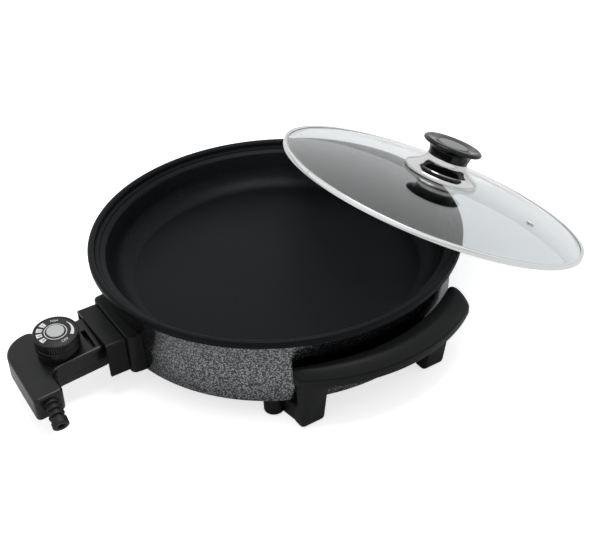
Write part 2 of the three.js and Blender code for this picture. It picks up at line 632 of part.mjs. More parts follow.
// ---------------------------------------------------------------- lid
const LID_RADIUS = LIP_RADIUS + LID_OVERLAP;
const DOME_RADIUS = LID_RADIUS - BAND_LIP - 0.5;
const glassTop = (r) =>
  BAND_SHEET + FIT + GLASS_THICKNESS + DOME_RISE * (1 - Math.min(r / DOME_RADIUS, 1) ** DOME_POWER);
const glassUnder = (r) => glassTop(r) - GLASS_THICKNESS;

const lid = new THREE.Group();
root.add(lid);
const tilted = (run, lean) =>
  new THREE.Vector3(cos(LID_AZIMUTH) * run, sin(LID_AZIMUTH) * run, lean);
const lidDown = (lean) => tilted(cos(lean), -sin(lean));
const lidNormal = (lean) => tilted(sin(lean), cos(lean));

// The low edge of the lid stands on the table and the glass rests on the far side of the rim.
function lidCentre(lean) {
  const distance = RIM_RADIUS + LID_OUT;
  return new THREE.Vector3(
    distance * cos(LID_AZIMUTH) + LID_OFFSET * sin(LID_AZIMUTH),
    distance * sin(LID_AZIMUTH) - LID_OFFSET * cos(LID_AZIMUTH),
    TABLE + FIT + LID_RADIUS * sin(lean),
  );
}

// Smallest gap between the rim's bead and the underside of the glass, with the lid at a lean.
function restGap(lean) {
  const [centre, normal] = [lidCentre(lean), lidNormal(lean)];
  let least = Infinity;
  for (const [r, z] of rimProfile()) {
    for (let angle = 0; angle < PI; angle += 0.01) {
      const point = new THREE.Vector3(r * cos(angle), r * sin(angle), z).sub(centre);
      const height = point.dot(normal);
      const out = Math.sqrt(Math.max(point.lengthSq() - height ** 2, 0));
      if (out < DOME_RADIUS) least = Math.min(least, glassUnder(out) - height);
    }
  }
  return least;
}
let [flattest, steepest] = [0, PI / 3];
for (let i = 0; i < 40; i++) {
  const middle = (flattest + steepest) / 2;
  if (restGap(middle) < 2 * FIT) flattest = middle;
  else steepest = middle;
}
lid.position.copy(lidCentre(steepest));
const lidAcross = new THREE.Vector3().crossVectors(lidDown(steepest), lidNormal(steepest));
lid.setRotationFromMatrix(
  new THREE.Matrix4().makeBasis(lidAcross, lidDown(steepest), lidNormal(steepest)),
);

const SCREW_BORE = SMALL_SCREW + FIT;
const GLASS_EDGE = LID_RADIUS - BAND_SHEET - FIT;
function lidGlass() {
  const rings = [0.26, 0.46, 0.64, 0.79, 0.91, 1].map((share) => share * DOME_RADIUS);
  const top = rings.map((r) => [r, glassTop(r)]).reverse();
  const under = rings.map((r) => [r, glassUnder(r)]);
  const shell = lathe([
    [SCREW_BORE, glassUnder(0)], ...under, [GLASS_EDGE, glassUnder(DOME_RADIUS)],
    [GLASS_EDGE, glassTop(DOME_RADIUS)], ...top, [SCREW_BORE, glassTop(0)],
  ]);
  return cut(shell, atVent(rod(VENT.hole, -20, 20, 16)));
}

// Lays a geometry made about Z through the glass at the vent, square to the dome.
function atVent(geometry) {
  const slope = (glassTop(VENT.radius - 1) - glassTop(VENT.radius + 1)) / 2;
  const out = new THREE.Vector3(cos(VENT.angle), sin(VENT.angle), 0);
  const normal = out.clone().multiplyScalar(slope).add(new THREE.Vector3(0, 0, 1)).normalize();
  const turn = new THREE.Quaternion().setFromUnitVectors(new THREE.Vector3(0, 0, 1), normal);
  const place = out.multiplyScalar(VENT.radius);
  return geometry.applyQuaternion(turn)
    .translate(place.x, place.y, glassTop(VENT.radius) - GLASS_THICKNESS / 2);
}
piece("lid_glass", lidGlass(), "glass", lid);

// The band is a strip rolled round the edge of the glass, open inwards.
function lidBand() {
  const [under, over] = [glassUnder(DOME_RADIUS) - FIT, glassTop(DOME_RADIUS) + FIT];
  const inner = LID_RADIUS - BAND_LIP;
  return lathe([
    [LID_RADIUS, 0], [LID_RADIUS, over], [LID_RADIUS - 0.7, over + BAND_SHEET],
    [inner, over + BAND_SHEET], [inner, over], [LID_RADIUS - BAND_SHEET, over],
    [LID_RADIUS - BAND_SHEET, under], [inner, under], [inner, 0],
  ]);
}
piece("lid_band", lidBand(), "steel", lid);

function ventGrommet() {
  const { bore, hole, flange } = VENT;
  const top = GLASS_THICKNESS / 2 + 0.8;
  return atVent(lathe([
    [bore, -top - 0.8], [flange, -top - 0.8], [flange, -top], [hole - FIT, -top],
    [hole - FIT, top], [flange, top], [flange, top + 0.8], [bore, top + 0.8],
  ], 16));
}
piece("vent_grommet", ventGrommet(), "steel", lid);

// ---------------------------------------------------------------- lid knob
const SKIRT_FOOT = glassTop(KNOB_SKIRT.base - 3) + FIT + 0.3;
const SKIRT_HEAD = SKIRT_FOOT + KNOB_SKIRT.height;
function knobSkirt() {
  const { base, top, sheet, foot } = KNOB_SKIRT;
  const waist = (t) => top + (base - top) * (1 - t) ** 1.8;
  const rise = SKIRT_HEAD - SKIRT_FOOT - foot;
  const outside = [0.25, 0.5, 0.75].map((t) => [waist(t), SKIRT_FOOT + foot + t * rise]);
  const inside = outside.map(([r, z]) => [r - sheet, z - sheet / 2]).reverse();
  const shell = lathe([
    [base, SKIRT_FOOT], [base, SKIRT_FOOT + foot], ...outside, [top, SKIRT_HEAD],
    [KNOB_STEM + FIT, SKIRT_HEAD], [KNOB_STEM + FIT, SKIRT_HEAD - sheet],
    [top - sheet, SKIRT_HEAD - sheet], ...inside,
    [base - sheet, SKIRT_FOOT + foot - sheet / 2], [base - sheet, SKIRT_FOOT],
  ], 32);
  const middle = SKIRT_FOOT + foot + 0.4 * KNOB_SKIRT.height;
  const half = KNOB_SLOT.length / 2;
  const mouth = rectangle(-half, half, -KNOB_SLOT.height / 2, KNOB_SLOT.height / 2, 3);
  const slot = slab(mouth, 0, base + 5)
    .rotateX(PI / 2).rotateZ(PI / 2 + KNOB_SLOT.angle).translate(0, 0, middle);
  return cut(shell, slot);
}
piece("knob_skirt", knobSkirt(), "steel", lid);

const GLASS_APEX = glassTop(0);
piece("knob_gasket", lathe([
  [SCREW_BORE, GLASS_APEX + FIT], [GASKET.radius, GLASS_APEX + FIT],
  [GASKET.radius, GLASS_APEX + FIT + GASKET.thickness],
  [SCREW_BORE, GLASS_APEX + FIT + GASKET.thickness],
], 24), "rubber", lid);

const STEM_FOOT = GLASS_APEX + GASKET.thickness + 2 * FIT;
const KNOB_FOOT = SKIRT_HEAD + FIT;
const KNOB_TOP = KNOB_FOOT + KNOB.height;
function knobBody() {
  const { waist, foot, disc, height, rim } = KNOB;
  const well = KNOB_TOP - INSERT.sunk - INSERT.depth;
  return lathe([
    [SCREW_BORE, STEM_FOOT], [KNOB_STEM, STEM_FOOT], [KNOB_STEM, KNOB_FOOT], [foot - 1, KNOB_FOOT],
    [foot, KNOB_FOOT + 2], [foot - 2.5, KNOB_FOOT + 5], [waist, KNOB_FOOT + 0.42 * height],
    [waist + 1, KNOB_TOP - rim - 3], [waist + 6, KNOB_TOP - rim], [disc - 1.5, KNOB_TOP - rim + 1.5],
    [disc, KNOB_TOP - 2.5], [disc - 1.8, KNOB_TOP - 0.4], [disc - 4, KNOB_TOP],
    [KNOB_INSERT_RADIUS + FIT, KNOB_TOP - INSERT.sunk], [KNOB_INSERT_RADIUS + FIT, well],
    [SCREW_BORE, well],
  ], 28);
}
piece("knob_body", knobBody(), "gloss", lid);
const insertFloor = KNOB_TOP - INSERT.sunk - INSERT.depth + FIT;
const insertTop = insertFloor + INSERT.depth;
piece("knob_insert", lathe([
  [0, insertFloor], [KNOB_INSERT_RADIUS, insertFloor],
  [KNOB_INSERT_RADIUS, insertTop - INSERT.chamfer],
  [KNOB_INSERT_RADIUS - INSERT.chamfer, insertTop], [0, insertTop],
], 32), "insert", lid);

const washerTop = glassUnder(0) - FIT;
const washerFoot = washerTop - KNOB_WASHER.thickness;
piece("knob_washer", lathe([
  [SCREW_BORE, washerFoot], [KNOB_WASHER.radius, washerFoot],
  [KNOB_WASHER.radius, washerTop], [SCREW_BORE, washerTop],
], 16), "steel", lid);
piece("knob_screw", screw(insertFloor - 3 - washerFoot), "steel", lid).position.z = washerFoot - FIT;

// ---------------------------------------------------------------- thermostat probe
const probe = new THREE.Group();
probe.position.set(0, 0, -PIN_DROP);
probe.rotation.y = PROBE_ROLL;
root.add(probe);

// Leans a piece of the probe so that it falls outward as the body does.
function droop(geometry) {
  const shear = new THREE.Matrix4().set(
    1, 0, 0, 0,
    0, 1, 0, 0,
    0, PROBE_DROOP, 1, PROBE_DROOP * PROBE_LEVEL,
    0, 0, 0, 1,
  );
  return geometry.applyMatrix4(shear);
}

// The body in plan: a neck that meets a cross arm, whose right end takes the cord.
function probeOutline(inset) {
  const [left, right] = [NECK.left + inset, NECK.right - inset];
  const [armLeft, armRight] = [ARM.left + inset, ARM.right - inset];
  const [front, near, far] = [-NECK.front - inset, -ARM.near - inset, -ARM.far + inset];
  const tight = Math.max(ARM.tip - inset, 0.5);
  const sharp = Math.max(2 - inset, 0.4);
  return outline([
    [armLeft, far, ARM.corner - inset], [armRight, far, tight], [armRight, near, tight],
    [right, near, ARM.elbow + inset], [right, front, sharp], [left, front, sharp],
    [left, near + 12, 5], [armLeft, near + 2, 3],
  ]);
}

const halfHeight = PROBE_HALF_HEIGHT;
const SPLIT_GAP = FIT / 2;
const relief = {
  root: new THREE.Vector3(ARM.right - 8, -FACE - 88, -2.5),
  tip: new THREE.Vector3(ARM.right + 27, -FACE - 90.5, -12.5),
};
const reliefAxis = relief.tip.clone().sub(relief.root).normalize();

// Lays a piece made along Z on the line of the strain relief.
function alongRelief(geometry) {
  const turn = new THREE.Quaternion().setFromUnitVectors(new THREE.Vector3(0, 0, 1), reliefAxis);
  return geometry.applyQuaternion(turn).translate(relief.root.x, relief.root.y, relief.root.z);
}

const dialPlace = [DIAL.x, -DIAL.out, 0];
const dialHole = () => closed(rod(SHAFT_RADIUS + FIT, -60, 60, 16).translate(...dialPlace));

function probeShells() {
  const body = slab(probeOutline(0), -halfHeight, halfHeight, 1.6);
  const hollow = slab(probeOutline(PROBE_WALL), -halfHeight + PROBE_WALL, halfHeight - PROBE_WALL);
  const posts = SHELL_SCREWS.map(([x, y]) =>
    closed(rod(SHELL_POST.radius, -halfHeight + 1, halfHeight - 1, 16).translate(x, y, 0)));
  const { left, right, near, far, depth } = POCKET;
  const lining = 1.5; // wall round the pocket
  const pocketBlock = box(
    left - lining, right, -far - lining, -near + 0.5, halfHeight - depth - lining, halfHeight - 1,
  );
  const pocket = box(left, right - 0.4, -far, -near, halfHeight - depth, halfHeight + 1);
  const noseWay = box(
    -TAIL.halfWidth - FIT, TAIL.halfWidth + FIT, -NECK.front - PROBE_WALL - 0.5, -NECK.front + 1,
    TAIL.bottom - FIT - 0.5, TAIL.top + FIT,
  );
  const mouth = box(
    ARM.right - PROBE_WALL - 1, ARM.right + 1, -MOUTH.far, -MOUTH.near, MOUTH.bottom, MOUTH.top,
  );
  const whole = cut(join(cut(body, hollow), ...posts, pocketBlock), pocket, noseWay);
  const around = [ARM.left - 30, ARM.right + 30, -ARM.far - 30, -NECK.front + 30];
  const above = box(...around, PROBE_SPLIT + SPLIT_GAP, 60);
  const below = box(...around, -60, PROBE_SPLIT - SPLIT_GAP);
  const atScrews = (radius, z0, z1, segments) =>
    SHELL_SCREWS.map(([x, y]) => rod(radius, z0, z1, segments).translate(x, y, 0));
  const pilots = atScrews(SHELL_POST.pilot, -halfHeight, halfHeight - 4, 8);
  const clear = atScrews(SHELL_POST.clear, -halfHeight - 1, PROBE_SPLIT, 8);
  const heads = atScrews(SHELL_POST.headWell, -halfHeight - 1, -halfHeight + SHELL_POST.headDepth, 12);
  return {
    upper: cut(droop(cut(common(whole, above), ...pilots)), mouth, dialHole()),
    lower: cut(droop(cut(common(whole, below), ...clear, ...heads)), mouth),
  };
}
const shells = probeShells();
piece("probe_shell_upper", shells.upper, "probe", probe);
piece("probe_shell_lower", shells.lower, "probe", probe);

SHELL_SCREWS.forEach(([x, y], i) => {
  const shellScrew = screw(SHELL_SCREW.length, SHELL_SCREW.radius, SHELL_SCREW.head);
  const seat = -halfHeight + SHELL_POST.headDepth - 2 * FIT + PROBE_DROOP * (y + PROBE_LEVEL);
  piece(`shell_screw_${["neck", "arm", "cord"][i]}`, shellScrew, "steel", probe).position.set(x, y, seat);
});

// ---------------------------------------------------------------- inside the probe
const SOCKET_FRONT = COLLAR_SEAT + 3;
const pinInProbe = (side) =>
  [side * PIN_SPACING * cos(PROBE_ROLL), side * PIN_SPACING * sin(PROBE_ROLL)];

function probeNose() {
  const noseBack = NECK.front - FIT;
  const block = slabOut(
    rectangle(-NOSE.halfWidth, NOSE.halfWidth, NOSE.bottom, NOSE.top, 2), NOSE.front, noseBack,
  );
  const tail = box(
    -TAIL.halfWidth, TAIL.halfWidth, -noseBack - TAIL.length, -noseBack + 1, TAIL.bottom, TAIL.top,
  );
  const bores = [-1, 1].map((side) => {
    const [x, z] = pinInProbe(side);
    return rodOut(SOCKET.radius + SOCKET.wall + FIT, NOSE.front - 1, noseBack - 0.3, x, z, 16);
  });
  const slots = [-1, 1].map((side) => {
    const x = side * PIN_SPACING;
    const half = BAR.halfWidth + FIT;
    return box(
      x - half, x + half, -noseBack - TAIL.length - 1, -noseBack + 2, -BAR.thickness, BAR.thickness,
    );
  });
  const rodWay = rodOut(ROD_RADIUS + FIT, NOSE.front - 1, noseBack + TAIL.length + 1, 0, 0, 16);
  return cut(join(block, tail), ...bores, ...slots, rodWay);
}
piece("probe_nose", probeNose(), "phenolic", probe);

const ROD_START = SLEEVE_END + 4;
const ROD_BACK = NECK.front + TAIL.length + 2;
piece("sensing_rod", latheOut([
  [0, ROD_START], [ROD_RADIUS - 1, ROD_START], [ROD_RADIUS, ROD_START + 1.5],
  [ROD_RADIUS, ROD_BACK], [0, ROD_BACK],
], 16), "steel", probe);

for (const [name, side] of SIDES) {
  const [x, z] = pinInProbe(side);
  const [near, far] = [SOCKET_FRONT, SOCKET_FRONT + SOCKET.length];
  const outer = SOCKET.radius + SOCKET.wall;
  piece(`contact_sleeve_${name}`, latheOut([
    [SOCKET.radius, near], [outer, near], [outer, far], [0, far], [0, far - 1], [SOCKET.radius, far - 1],
  ], 16), "brass", probe).position.set(x, 0, z);
  const barNear = NECK.front + FIT;
  const bar = box(
    -BAR.halfWidth, BAR.halfWidth, -barNear - BAR.length, -barNear, -BAR.thickness / 2, BAR.thickness / 2,
  );
  piece(`bus_bar_${name}`, closed(bar), "brass", probe).position.x = side * PIN_SPACING;
}

// The thermostat hangs under the dial: a bent frame, the bimetal blade and the spring that it works.
const thermostat = new THREE.Group();
thermostat.position.set(DIAL.x, -DIAL.out, PROBE_DROOP * (PROBE_LEVEL - DIAL.out));
probe.add(thermostat);
function thermostatFrame() {
  const { left, right, half, top, foot, sheet } = FRAME;
  const bent = outline([
    [left, foot], [left + sheet, foot], [left + sheet, top - sheet], [right - sheet, top - sheet],
    [right - sheet, foot], [right, foot], [right, top], [left, top],
  ]);
  return cut(slabOut(bent, -half, half), rod(SHAFT_RADIUS + FIT, foot, top + 1, 16));
}
piece("thermostat_frame", thermostatFrame(), "steel", thermostat);
const bladeEnds = [FRAME.left + FRAME.sheet + FIT, FRAME.right - FRAME.sheet - FIT];
const blade = box(...bladeEnds, -BLADE.half, BLADE.half, BLADE.bottom, BLADE.top);
const spring = box(
  bladeEnds[0], bladeEnds[1] - SPRING.short, -SPRING.half, SPRING.half, SPRING.bottom, SPRING.top,
);
piece("bimetal_blade", closed(blade), "brass", thermostat);
piece("contact_spring", closed(spring), "steel", thermostat);

function cordClamp() {
  const low = -PROBE_HALF_HEIGHT + PROBE_WALL + PROBE_DROOP * (PROBE_LEVEL - CLAMP.near) + FIT;
  const bar = box(CLAMP.left, CLAMP.right, -CLAMP.far, -CLAMP.near, low, low + CLAMP.thickness);
  const saddle = new THREE.CylinderGeometry(RELIEF.bore, RELIEF.bore, 20, 16)
    .rotateZ(PI / 2).translate((CLAMP.left + CLAMP.right) / 2, relief.root.y, low + CLAMP.thickness + 1);
  return cut(bar, saddle);
}
piece("cord_clamp", cordClamp(), "phenolic", probe);

// Strain relief: a bush with round ribs, open through the middle for the cord.
function strainRelief() {
  const { radius, groove, bore, ribs, pitch, flange, shank } = RELIEF;
  const outside = [[bore, 0], [flange, 0], [flange, 2], [groove, 2]];
  for (let i = 0; i < ribs; i++) {
    const z = shank - 4 + i * pitch;
    const last = i === ribs - 1 ? 4 : 0;
    outside.push([groove, z], [radius, z + 0.8], [radius, z + 3.4 + last], [groove, z + 4.2 + last]);
  }
  return alongRelief(lathe([...outside, [bore, outside[outside.length - 1][1]]], 14));
}
piece("strain_relief", strainRelief(), "rubber", probe);

// ---------------------------------------------------------------- dial
function dialPedestal() {
  const { skirt, seat, wall } = DIAL;
  const bore = SHAFT_RADIUS + FIT;
  const drum = lathe([
    [bore, 0], [skirt, 0], [skirt, seat - 1], [skirt - 1, seat], [bore, seat],
  ], 32).translate(...dialPlace);
  const hollow = closed(rod(skirt - wall, 0, seat - wall, 24).translate(...dialPlace));
  const bush = closed(rod(bore + wall, 1, seat - 1, 16).translate(...dialPlace));
  const below = droop(slab(probeOutline(-1), -PROBE_HALF_HEIGHT, PROBE_HALF_HEIGHT + FIT));
  return cut(join(cut(drum, hollow), cut(bush, dialHole())), below);
}
piece("dial_pedestal", dialPedestal(), "phenolic", probe);

const dial = new THREE.Group();
dial.position.set(...dialPlace);
probe.add(dial);
const DIAL_FOOT = DIAL.seat + FIT;
const DIAL_TOP = DIAL_FOOT + DIAL.height;
const DISC_FLOOR = DIAL_TOP - SCALE_DISC.thickness - 0.5;
function dialKnob() {
  const { skirt, disc, wall } = DIAL;
  const bore = SHAFT_RADIUS + FIT;
  const roof = DISC_FLOOR - wall;
  return lathe([
    [bore, DIAL_FOOT], [bore + wall, DIAL_FOOT], [bore + wall, roof], [skirt - wall, roof],
    [skirt - wall, DIAL_FOOT], [skirt, DIAL_FOOT], [skirt, DIAL_TOP - 2.6], [disc, DIAL_TOP - 2],
    [disc, DIAL_TOP - 0.5], [disc - 0.5, DIAL_TOP], [SCALE_DISC.radius + FIT, DIAL_TOP],
    [SCALE_DISC.radius + FIT, DISC_FLOOR], [bore, DISC_FLOOR],
  ], 32);
}
piece("dial_knob", dialKnob(), "phenolic", dial);
const scaleTop = DISC_FLOOR + FIT + SCALE_DISC.thickness;
piece("dial_scale_disc", closed(rod(SCALE_DISC.radius, DISC_FLOOR + FIT, scaleTop, 32)), "phenolic", dial);
const capFloor = scaleTop + FIT;
piece("dial_centre_cap", lathe([
  [0, capFloor], [CAP.radius, capFloor],
  [CAP.radius, capFloor + CAP.thickness], [0, capFloor + CAP.thickness],
], 24), "print", dial);
const shaftFoot = thermostat.position.z + SPRING.top + FIT;
piece("dial_shaft", closed(rod(SHAFT_RADIUS, shaftFoot, DISC_FLOOR, 16)), "steel", dial);

export default root;
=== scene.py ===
from math import asin, atan2, cos, hypot, pi, radians, sin, sqrt

import bmesh
import bpy
from mathutils import Matrix, Quaternion, Vector


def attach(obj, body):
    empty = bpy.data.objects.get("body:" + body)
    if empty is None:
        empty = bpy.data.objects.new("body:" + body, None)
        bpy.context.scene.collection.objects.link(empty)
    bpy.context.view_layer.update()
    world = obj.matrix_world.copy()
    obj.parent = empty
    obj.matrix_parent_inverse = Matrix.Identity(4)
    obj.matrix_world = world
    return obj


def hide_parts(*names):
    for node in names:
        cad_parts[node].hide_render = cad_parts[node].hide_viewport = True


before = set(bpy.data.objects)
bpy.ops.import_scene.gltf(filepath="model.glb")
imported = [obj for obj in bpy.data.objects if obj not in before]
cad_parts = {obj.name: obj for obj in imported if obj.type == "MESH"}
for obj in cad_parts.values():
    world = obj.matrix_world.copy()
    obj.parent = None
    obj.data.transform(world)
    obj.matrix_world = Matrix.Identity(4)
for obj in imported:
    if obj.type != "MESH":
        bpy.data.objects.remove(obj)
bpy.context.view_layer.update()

# ---------------------------------------------------------------- camera
# A standing cook's view from the near right: the probe comes out to the left and the lid leans
# on the far side of the rim.
scene = bpy.context.scene
aim = Vector((-0.0021, 0.0299, -0.0357))
azimuth, elevation, roll = radians(58.88), radians(35.31), radians(-2.93)
toward = Vector((sin(azimuth) * cos(elevation), -cos(azimuth) * cos(elevation), sin(elevation)))
camera = bpy.data.objects.new("camera", bpy.data.cameras.new("camera"))
scene.collection.objects.link(camera)
camera.data.lens = 62.74
camera.rotation_mode = "QUATERNION"
camera.rotation_quaternion = toward.to_track_quat("Z", "Y") @ Quaternion((0, 0, 1), roll)
camera.location = aim + 1.18403 * toward
scene.camera = camera

# ---------------------------------------------------------------- bowl of the pan
# The cooking surface is the top of an aluminium casting, sprayed with a dark non-stick coating
# that is baked on: floor, curved wall, ledge for the lid, and the rolled bead with its plain band.


def linear(code):
    """An sRGB hex colour as linear red, green, blue and full alpha."""
    parts = [int(code[i:i + 2], 16) / 255 for i in (1, 3, 5)]
    return (*[c / 12.92 if c <= 0.04045 else ((c + 0.055) / 1.055) ** 2.4 for c in parts], 1)


def add_node(owner, kind, sockets=None, **settings):
    """Adds a node, sets its settings, and fills its sockets with values or with other outputs."""
    node = owner.node_tree.nodes.new(kind)
    for name, value in settings.items():
        setattr(node, name, value)
    for name, value in (sockets or {}).items():
        if isinstance(value, bpy.types.NodeSocket):
            owner.node_tree.links.new(value, node.inputs[name])
        else:
            node.inputs[name].default_value = value
    return node


def new_material(name):
    material = bpy.data.materials.new(name)
    material.use_nodes = True
    material.node_tree.nodes.clear()
    return material


def round_corners(bm, verts, corners):
    """Rounds the corners that give two more values, the length cut from each side and the number
    of steps."""
    for vert, corner in zip(verts, corners):
        if len(corner) > 2:
            bmesh.ops.bevel(bm, geom=[vert], offset=corner[2], offset_type="OFFSET",
                            segments=corner[3], profile=0.5, affect="VERTICES", material=-1)


def turned(profile, steps=96, turn=2 * pi):
    """A body of revolution about Z from corners (radius, height, cut, steps), with open ends where
    it makes less than a whole turn."""
    bm = bmesh.new()
    verts = [bm.verts.new((corner[0], 0, corner[1])) for corner in profile]
    for a, b in zip(verts, verts[1:]):
        bm.edges.new((a, b))
    if profile[0][0] > 0:
        bm.edges.new((verts[-1], verts[0]))
    round_corners(bm, verts, profile)
    bmesh.ops.spin(bm, geom=bm.verts[:] + bm.edges[:], cent=(0, 0, 0), axis=(0, 0, 1),
                   angle=turn, steps=steps, use_merge=turn == 2 * pi)
    bmesh.ops.remove_doubles(bm, verts=bm.verts, dist=1e-4)
    bmesh.ops.recalc_face_normals(bm, faces=bm.faces)
    return bm


def finished(name, bm, material, place=Matrix()):
    """Makes an object in metres from a mesh in millimetres put in its place, smooth except where
    faces meet at over 32 degrees."""
    bmesh.ops.transform(bm, matrix=place, verts=bm.verts)
    bmesh.ops.scale(bm, vec=Vector((0.001, 0.001, 0.001)), verts=bm.verts)
    mesh = bpy.data.meshes.new(name)
    bm.to_mesh(mesh)
    bm.free()
    mesh.materials.append(material)
    mesh.shade_smooth()
    mesh.set_sharp_from_angle(angle=radians(32))
    piece = bpy.data.objects.new(name, mesh)
    scene.collection.objects.link(piece)
    return piece


# PTFE non-stick coating, sprayed and baked: near black, satin, with the faint orange peel of the
# spray (about 1 mm) and slow changes of sheen across the floor.
coating = new_material("nonstick_coating_sprayed_ptfe")
place = add_node(coating, "ShaderNodeTexCoord")
cloud = add_node(coating, "ShaderNodeTexNoise",
                 {"Vector": place.outputs["Object"], "Scale": 14, "Detail": 3, "Roughness": 0.55})
peel = add_node(coating, "ShaderNodeTexNoise",
                {"Vector": place.outputs["Object"], "Scale": 900, "Detail": 2, "Roughness": 0.5})
flecks = add_node(coating, "ShaderNodeMapRange",
                  {"Value": peel.outputs[0], "From Min": 0.4, "From Max": 0.7, "To Min": 0, "To Max": 1})
tone = add_node(coating, "ShaderNodeMix",
                {0: flecks.outputs[0], 6: linear("#080a0c"), 7: linear("#15191c")}, data_type="RGBA")
sheen = add_node(coating, "ShaderNodeMapRange",
                 {"Value": cloud.outputs[0], "From Min": 0.3, "From Max": 0.7,
                  "To Min": 0.35, "To Max": 0.42})
relief = add_node(coating, "ShaderNodeBump",
                  {"Height": peel.outputs[0], "Strength": 0.25, "Distance": 0.00012})
skin = add_node(coating, "ShaderNodeBsdfPrincipled",
                {"Base Color": tone.outputs[2], "Roughness": sheen.outputs[0],
                 "Specular IOR Level": 0.08, "IOR": 1.45, "Normal": relief.outputs[0]})
add_node(coating, "ShaderNodeOutputMaterial", {"Surface": skin.outputs[0]})

bowl = finished("bowl_and_rim", turned([
    (0, 0), (156, 0), (172.8, 2.66, 16.8, 14), (182, 33.8, 1.1, 3), (183.4, 35), (188, 36.4, 0.4, 2),
    (188.6, 38.4, 0.3, 2), (191.6, 39), (192.4, 39, 0.3, 2), (192.9, 45, 3.4, 7), (200, 45, 2.6, 6),
    (200, 37.5, 0.6, 3), (189.8, 37.5), (189.4, 35.1), (184, 33.4), (173.9, 1.6, 17.5, 8),
    (156, -1.2), (0, -1.2),
], 180), coating)
for edge in bowl.data.edges:
    ends = [bowl.data.vertices[i].co for i in edge.vertices]
    if all(co.z > -1e-4 and abs(hypot(co.x, co.y) - 0.156) < 1e-4 for co in ends):
        edge.use_edge_sharp = True
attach(bowl, "pan")

# ---------------------------------------------------------------- skirt and underside of the pan
# The rest of the same aluminium casting, left in its outside finish: a tapering skirt that hides
# the heater, a ring-shaped rib under the floor that the heating element is set in, four pillars
# for the handles and a boss that holds the sensor sleeve.
SKIRT_TOP, SKIRT_FOOT, SKIRT_FOOT_RADIUS = 37.4, -38.8, 187
SKIRT_BEND, BEND_RADIUS, UPPER_SLOPE = 12, 189.5, 6.5 / 25.5
WINDOW_HALF, WINDOW_FOOT, WINDOW_TOP = 18.6, -23, -5
LEADS_HALF = 36
PILLAR_X, PILLAR_Y = 146, 97


def skirt_radius(z):
    """The skirt draws in steeply under the rim and more gently lower down."""
    if z > SKIRT_BEND:
        return BEND_RADIUS + UPPER_SLOPE * (z - SKIRT_BEND)
    share = (z - SKIRT_FOOT) / (SKIRT_BEND - SKIRT_FOOT)
    return SKIRT_FOOT_RADIUS + share * (BEND_RADIUS - SKIRT_FOOT_RADIUS)


def add_part(bm, part, *places):
    """Adds a copy of a part to a mesh at each place, and frees the part."""
    mesh = bpy.data.meshes.new("part")
    part.to_mesh(mesh)
    part.free()
    for matrix in places:
        copy = mesh.copy()
        copy.transform(matrix)
        bm.from_mesh(copy)
        bpy.data.meshes.remove(copy)
    bpy.data.meshes.remove(mesh)


def take_out(bm, chosen):
    """Takes out the faces whose middle is chosen, and returns the edges left open."""
    faces = [face for face in bm.faces if chosen(face.calc_center_median())]
    bmesh.ops.delete(bm, geom=faces, context="FACES")
    return [edge for edge in bm.edges if edge.is_boundary]


def flat_face(corners):
    """A mesh of one flat face in XY with corners (x, y, cut, steps)."""
    bm = bmesh.new()
    bm.verts.layers.int.new("ring")
    verts = [bm.verts.new((corner[0], corner[1], 0)) for corner in corners]
    for a, b in zip(verts, verts[1:] + verts[:1]):
        bm.edges.new((a, b))
    round_corners(bm, verts, corners)
    bmesh.ops.contextual_create(bm, geom=bm.edges[:])
    return bm


def raise_rings(bm, face, rings):
    """Steps a flat face inward by each ring's inset, then lifts each ring to its height, which
    is a number or depends on the place. Returns the last face."""
    ring = bm.verts.layers.int.get("ring")
    for vert in bm.verts:
        vert[ring] = 0
    for number, (inset, _) in enumerate(rings, 1):
        if inset:
            bmesh.ops.inset_region(bm, faces=[face], thickness=inset, use_even_offset=True)
        else:
            grown = bmesh.ops.extrude_face_region(bm, geom=[face])["geom"]
            face = next(part for part in grown if isinstance(part, bmesh.types.BMFace))
        for vert in face.verts:
            vert[ring] = number
    for vert in bm.verts:
        if vert[ring]:
            height = rings[vert[ring] - 1][1]
            vert.co.z = height(vert.co) if callable(height) else height
    return face


casting = turned([
    (0, -1.3), (156, -1.3), (174.1, 1.5, 17.5, 8), (184.1, 33.3), (189.5, 35), (189.9, SKIRT_TOP),
    (196, SKIRT_TOP, 0.4, 2), (skirt_radius(36.4), 36.4), (BEND_RADIUS, SKIRT_BEND, 14, 6),
    (skirt_radius(WINDOW_TOP), WINDOW_TOP), (skirt_radius(WINDOW_FOOT), WINDOW_FOOT),
    (SKIRT_FOOT_RADIUS, SKIRT_FOOT, 1.2, 3), (184, SKIRT_FOOT, 1.2, 3), (185.2, WINDOW_FOOT),
    (186.2, WINDOW_TOP), (187, SKIRT_BEND, 14, 6), (190.8, 27, 2, 3), (184.8, 27, 1.5, 3),
    (175.36, -5, 23.5, 8), (120, -5), (120, -10.5, 0.6, 2),
    (116.5, -10.5), (116.5, -6.2, 3.5, 4), (107.5, -6.2, 3.5, 4), (107.5, -10.5),
    (104, -10.5, 0.6, 2), (104, -5), (0, -5),
], 128)
# The opening in the skirt that the pins pass through.
edges = take_out(casting, lambda at: abs(at.x) < WINDOW_HALF and at.y < -180
                 and WINDOW_FOOT < at.z < WINDOW_TOP)
bmesh.ops.bridge_loops(casting, edges=edges)
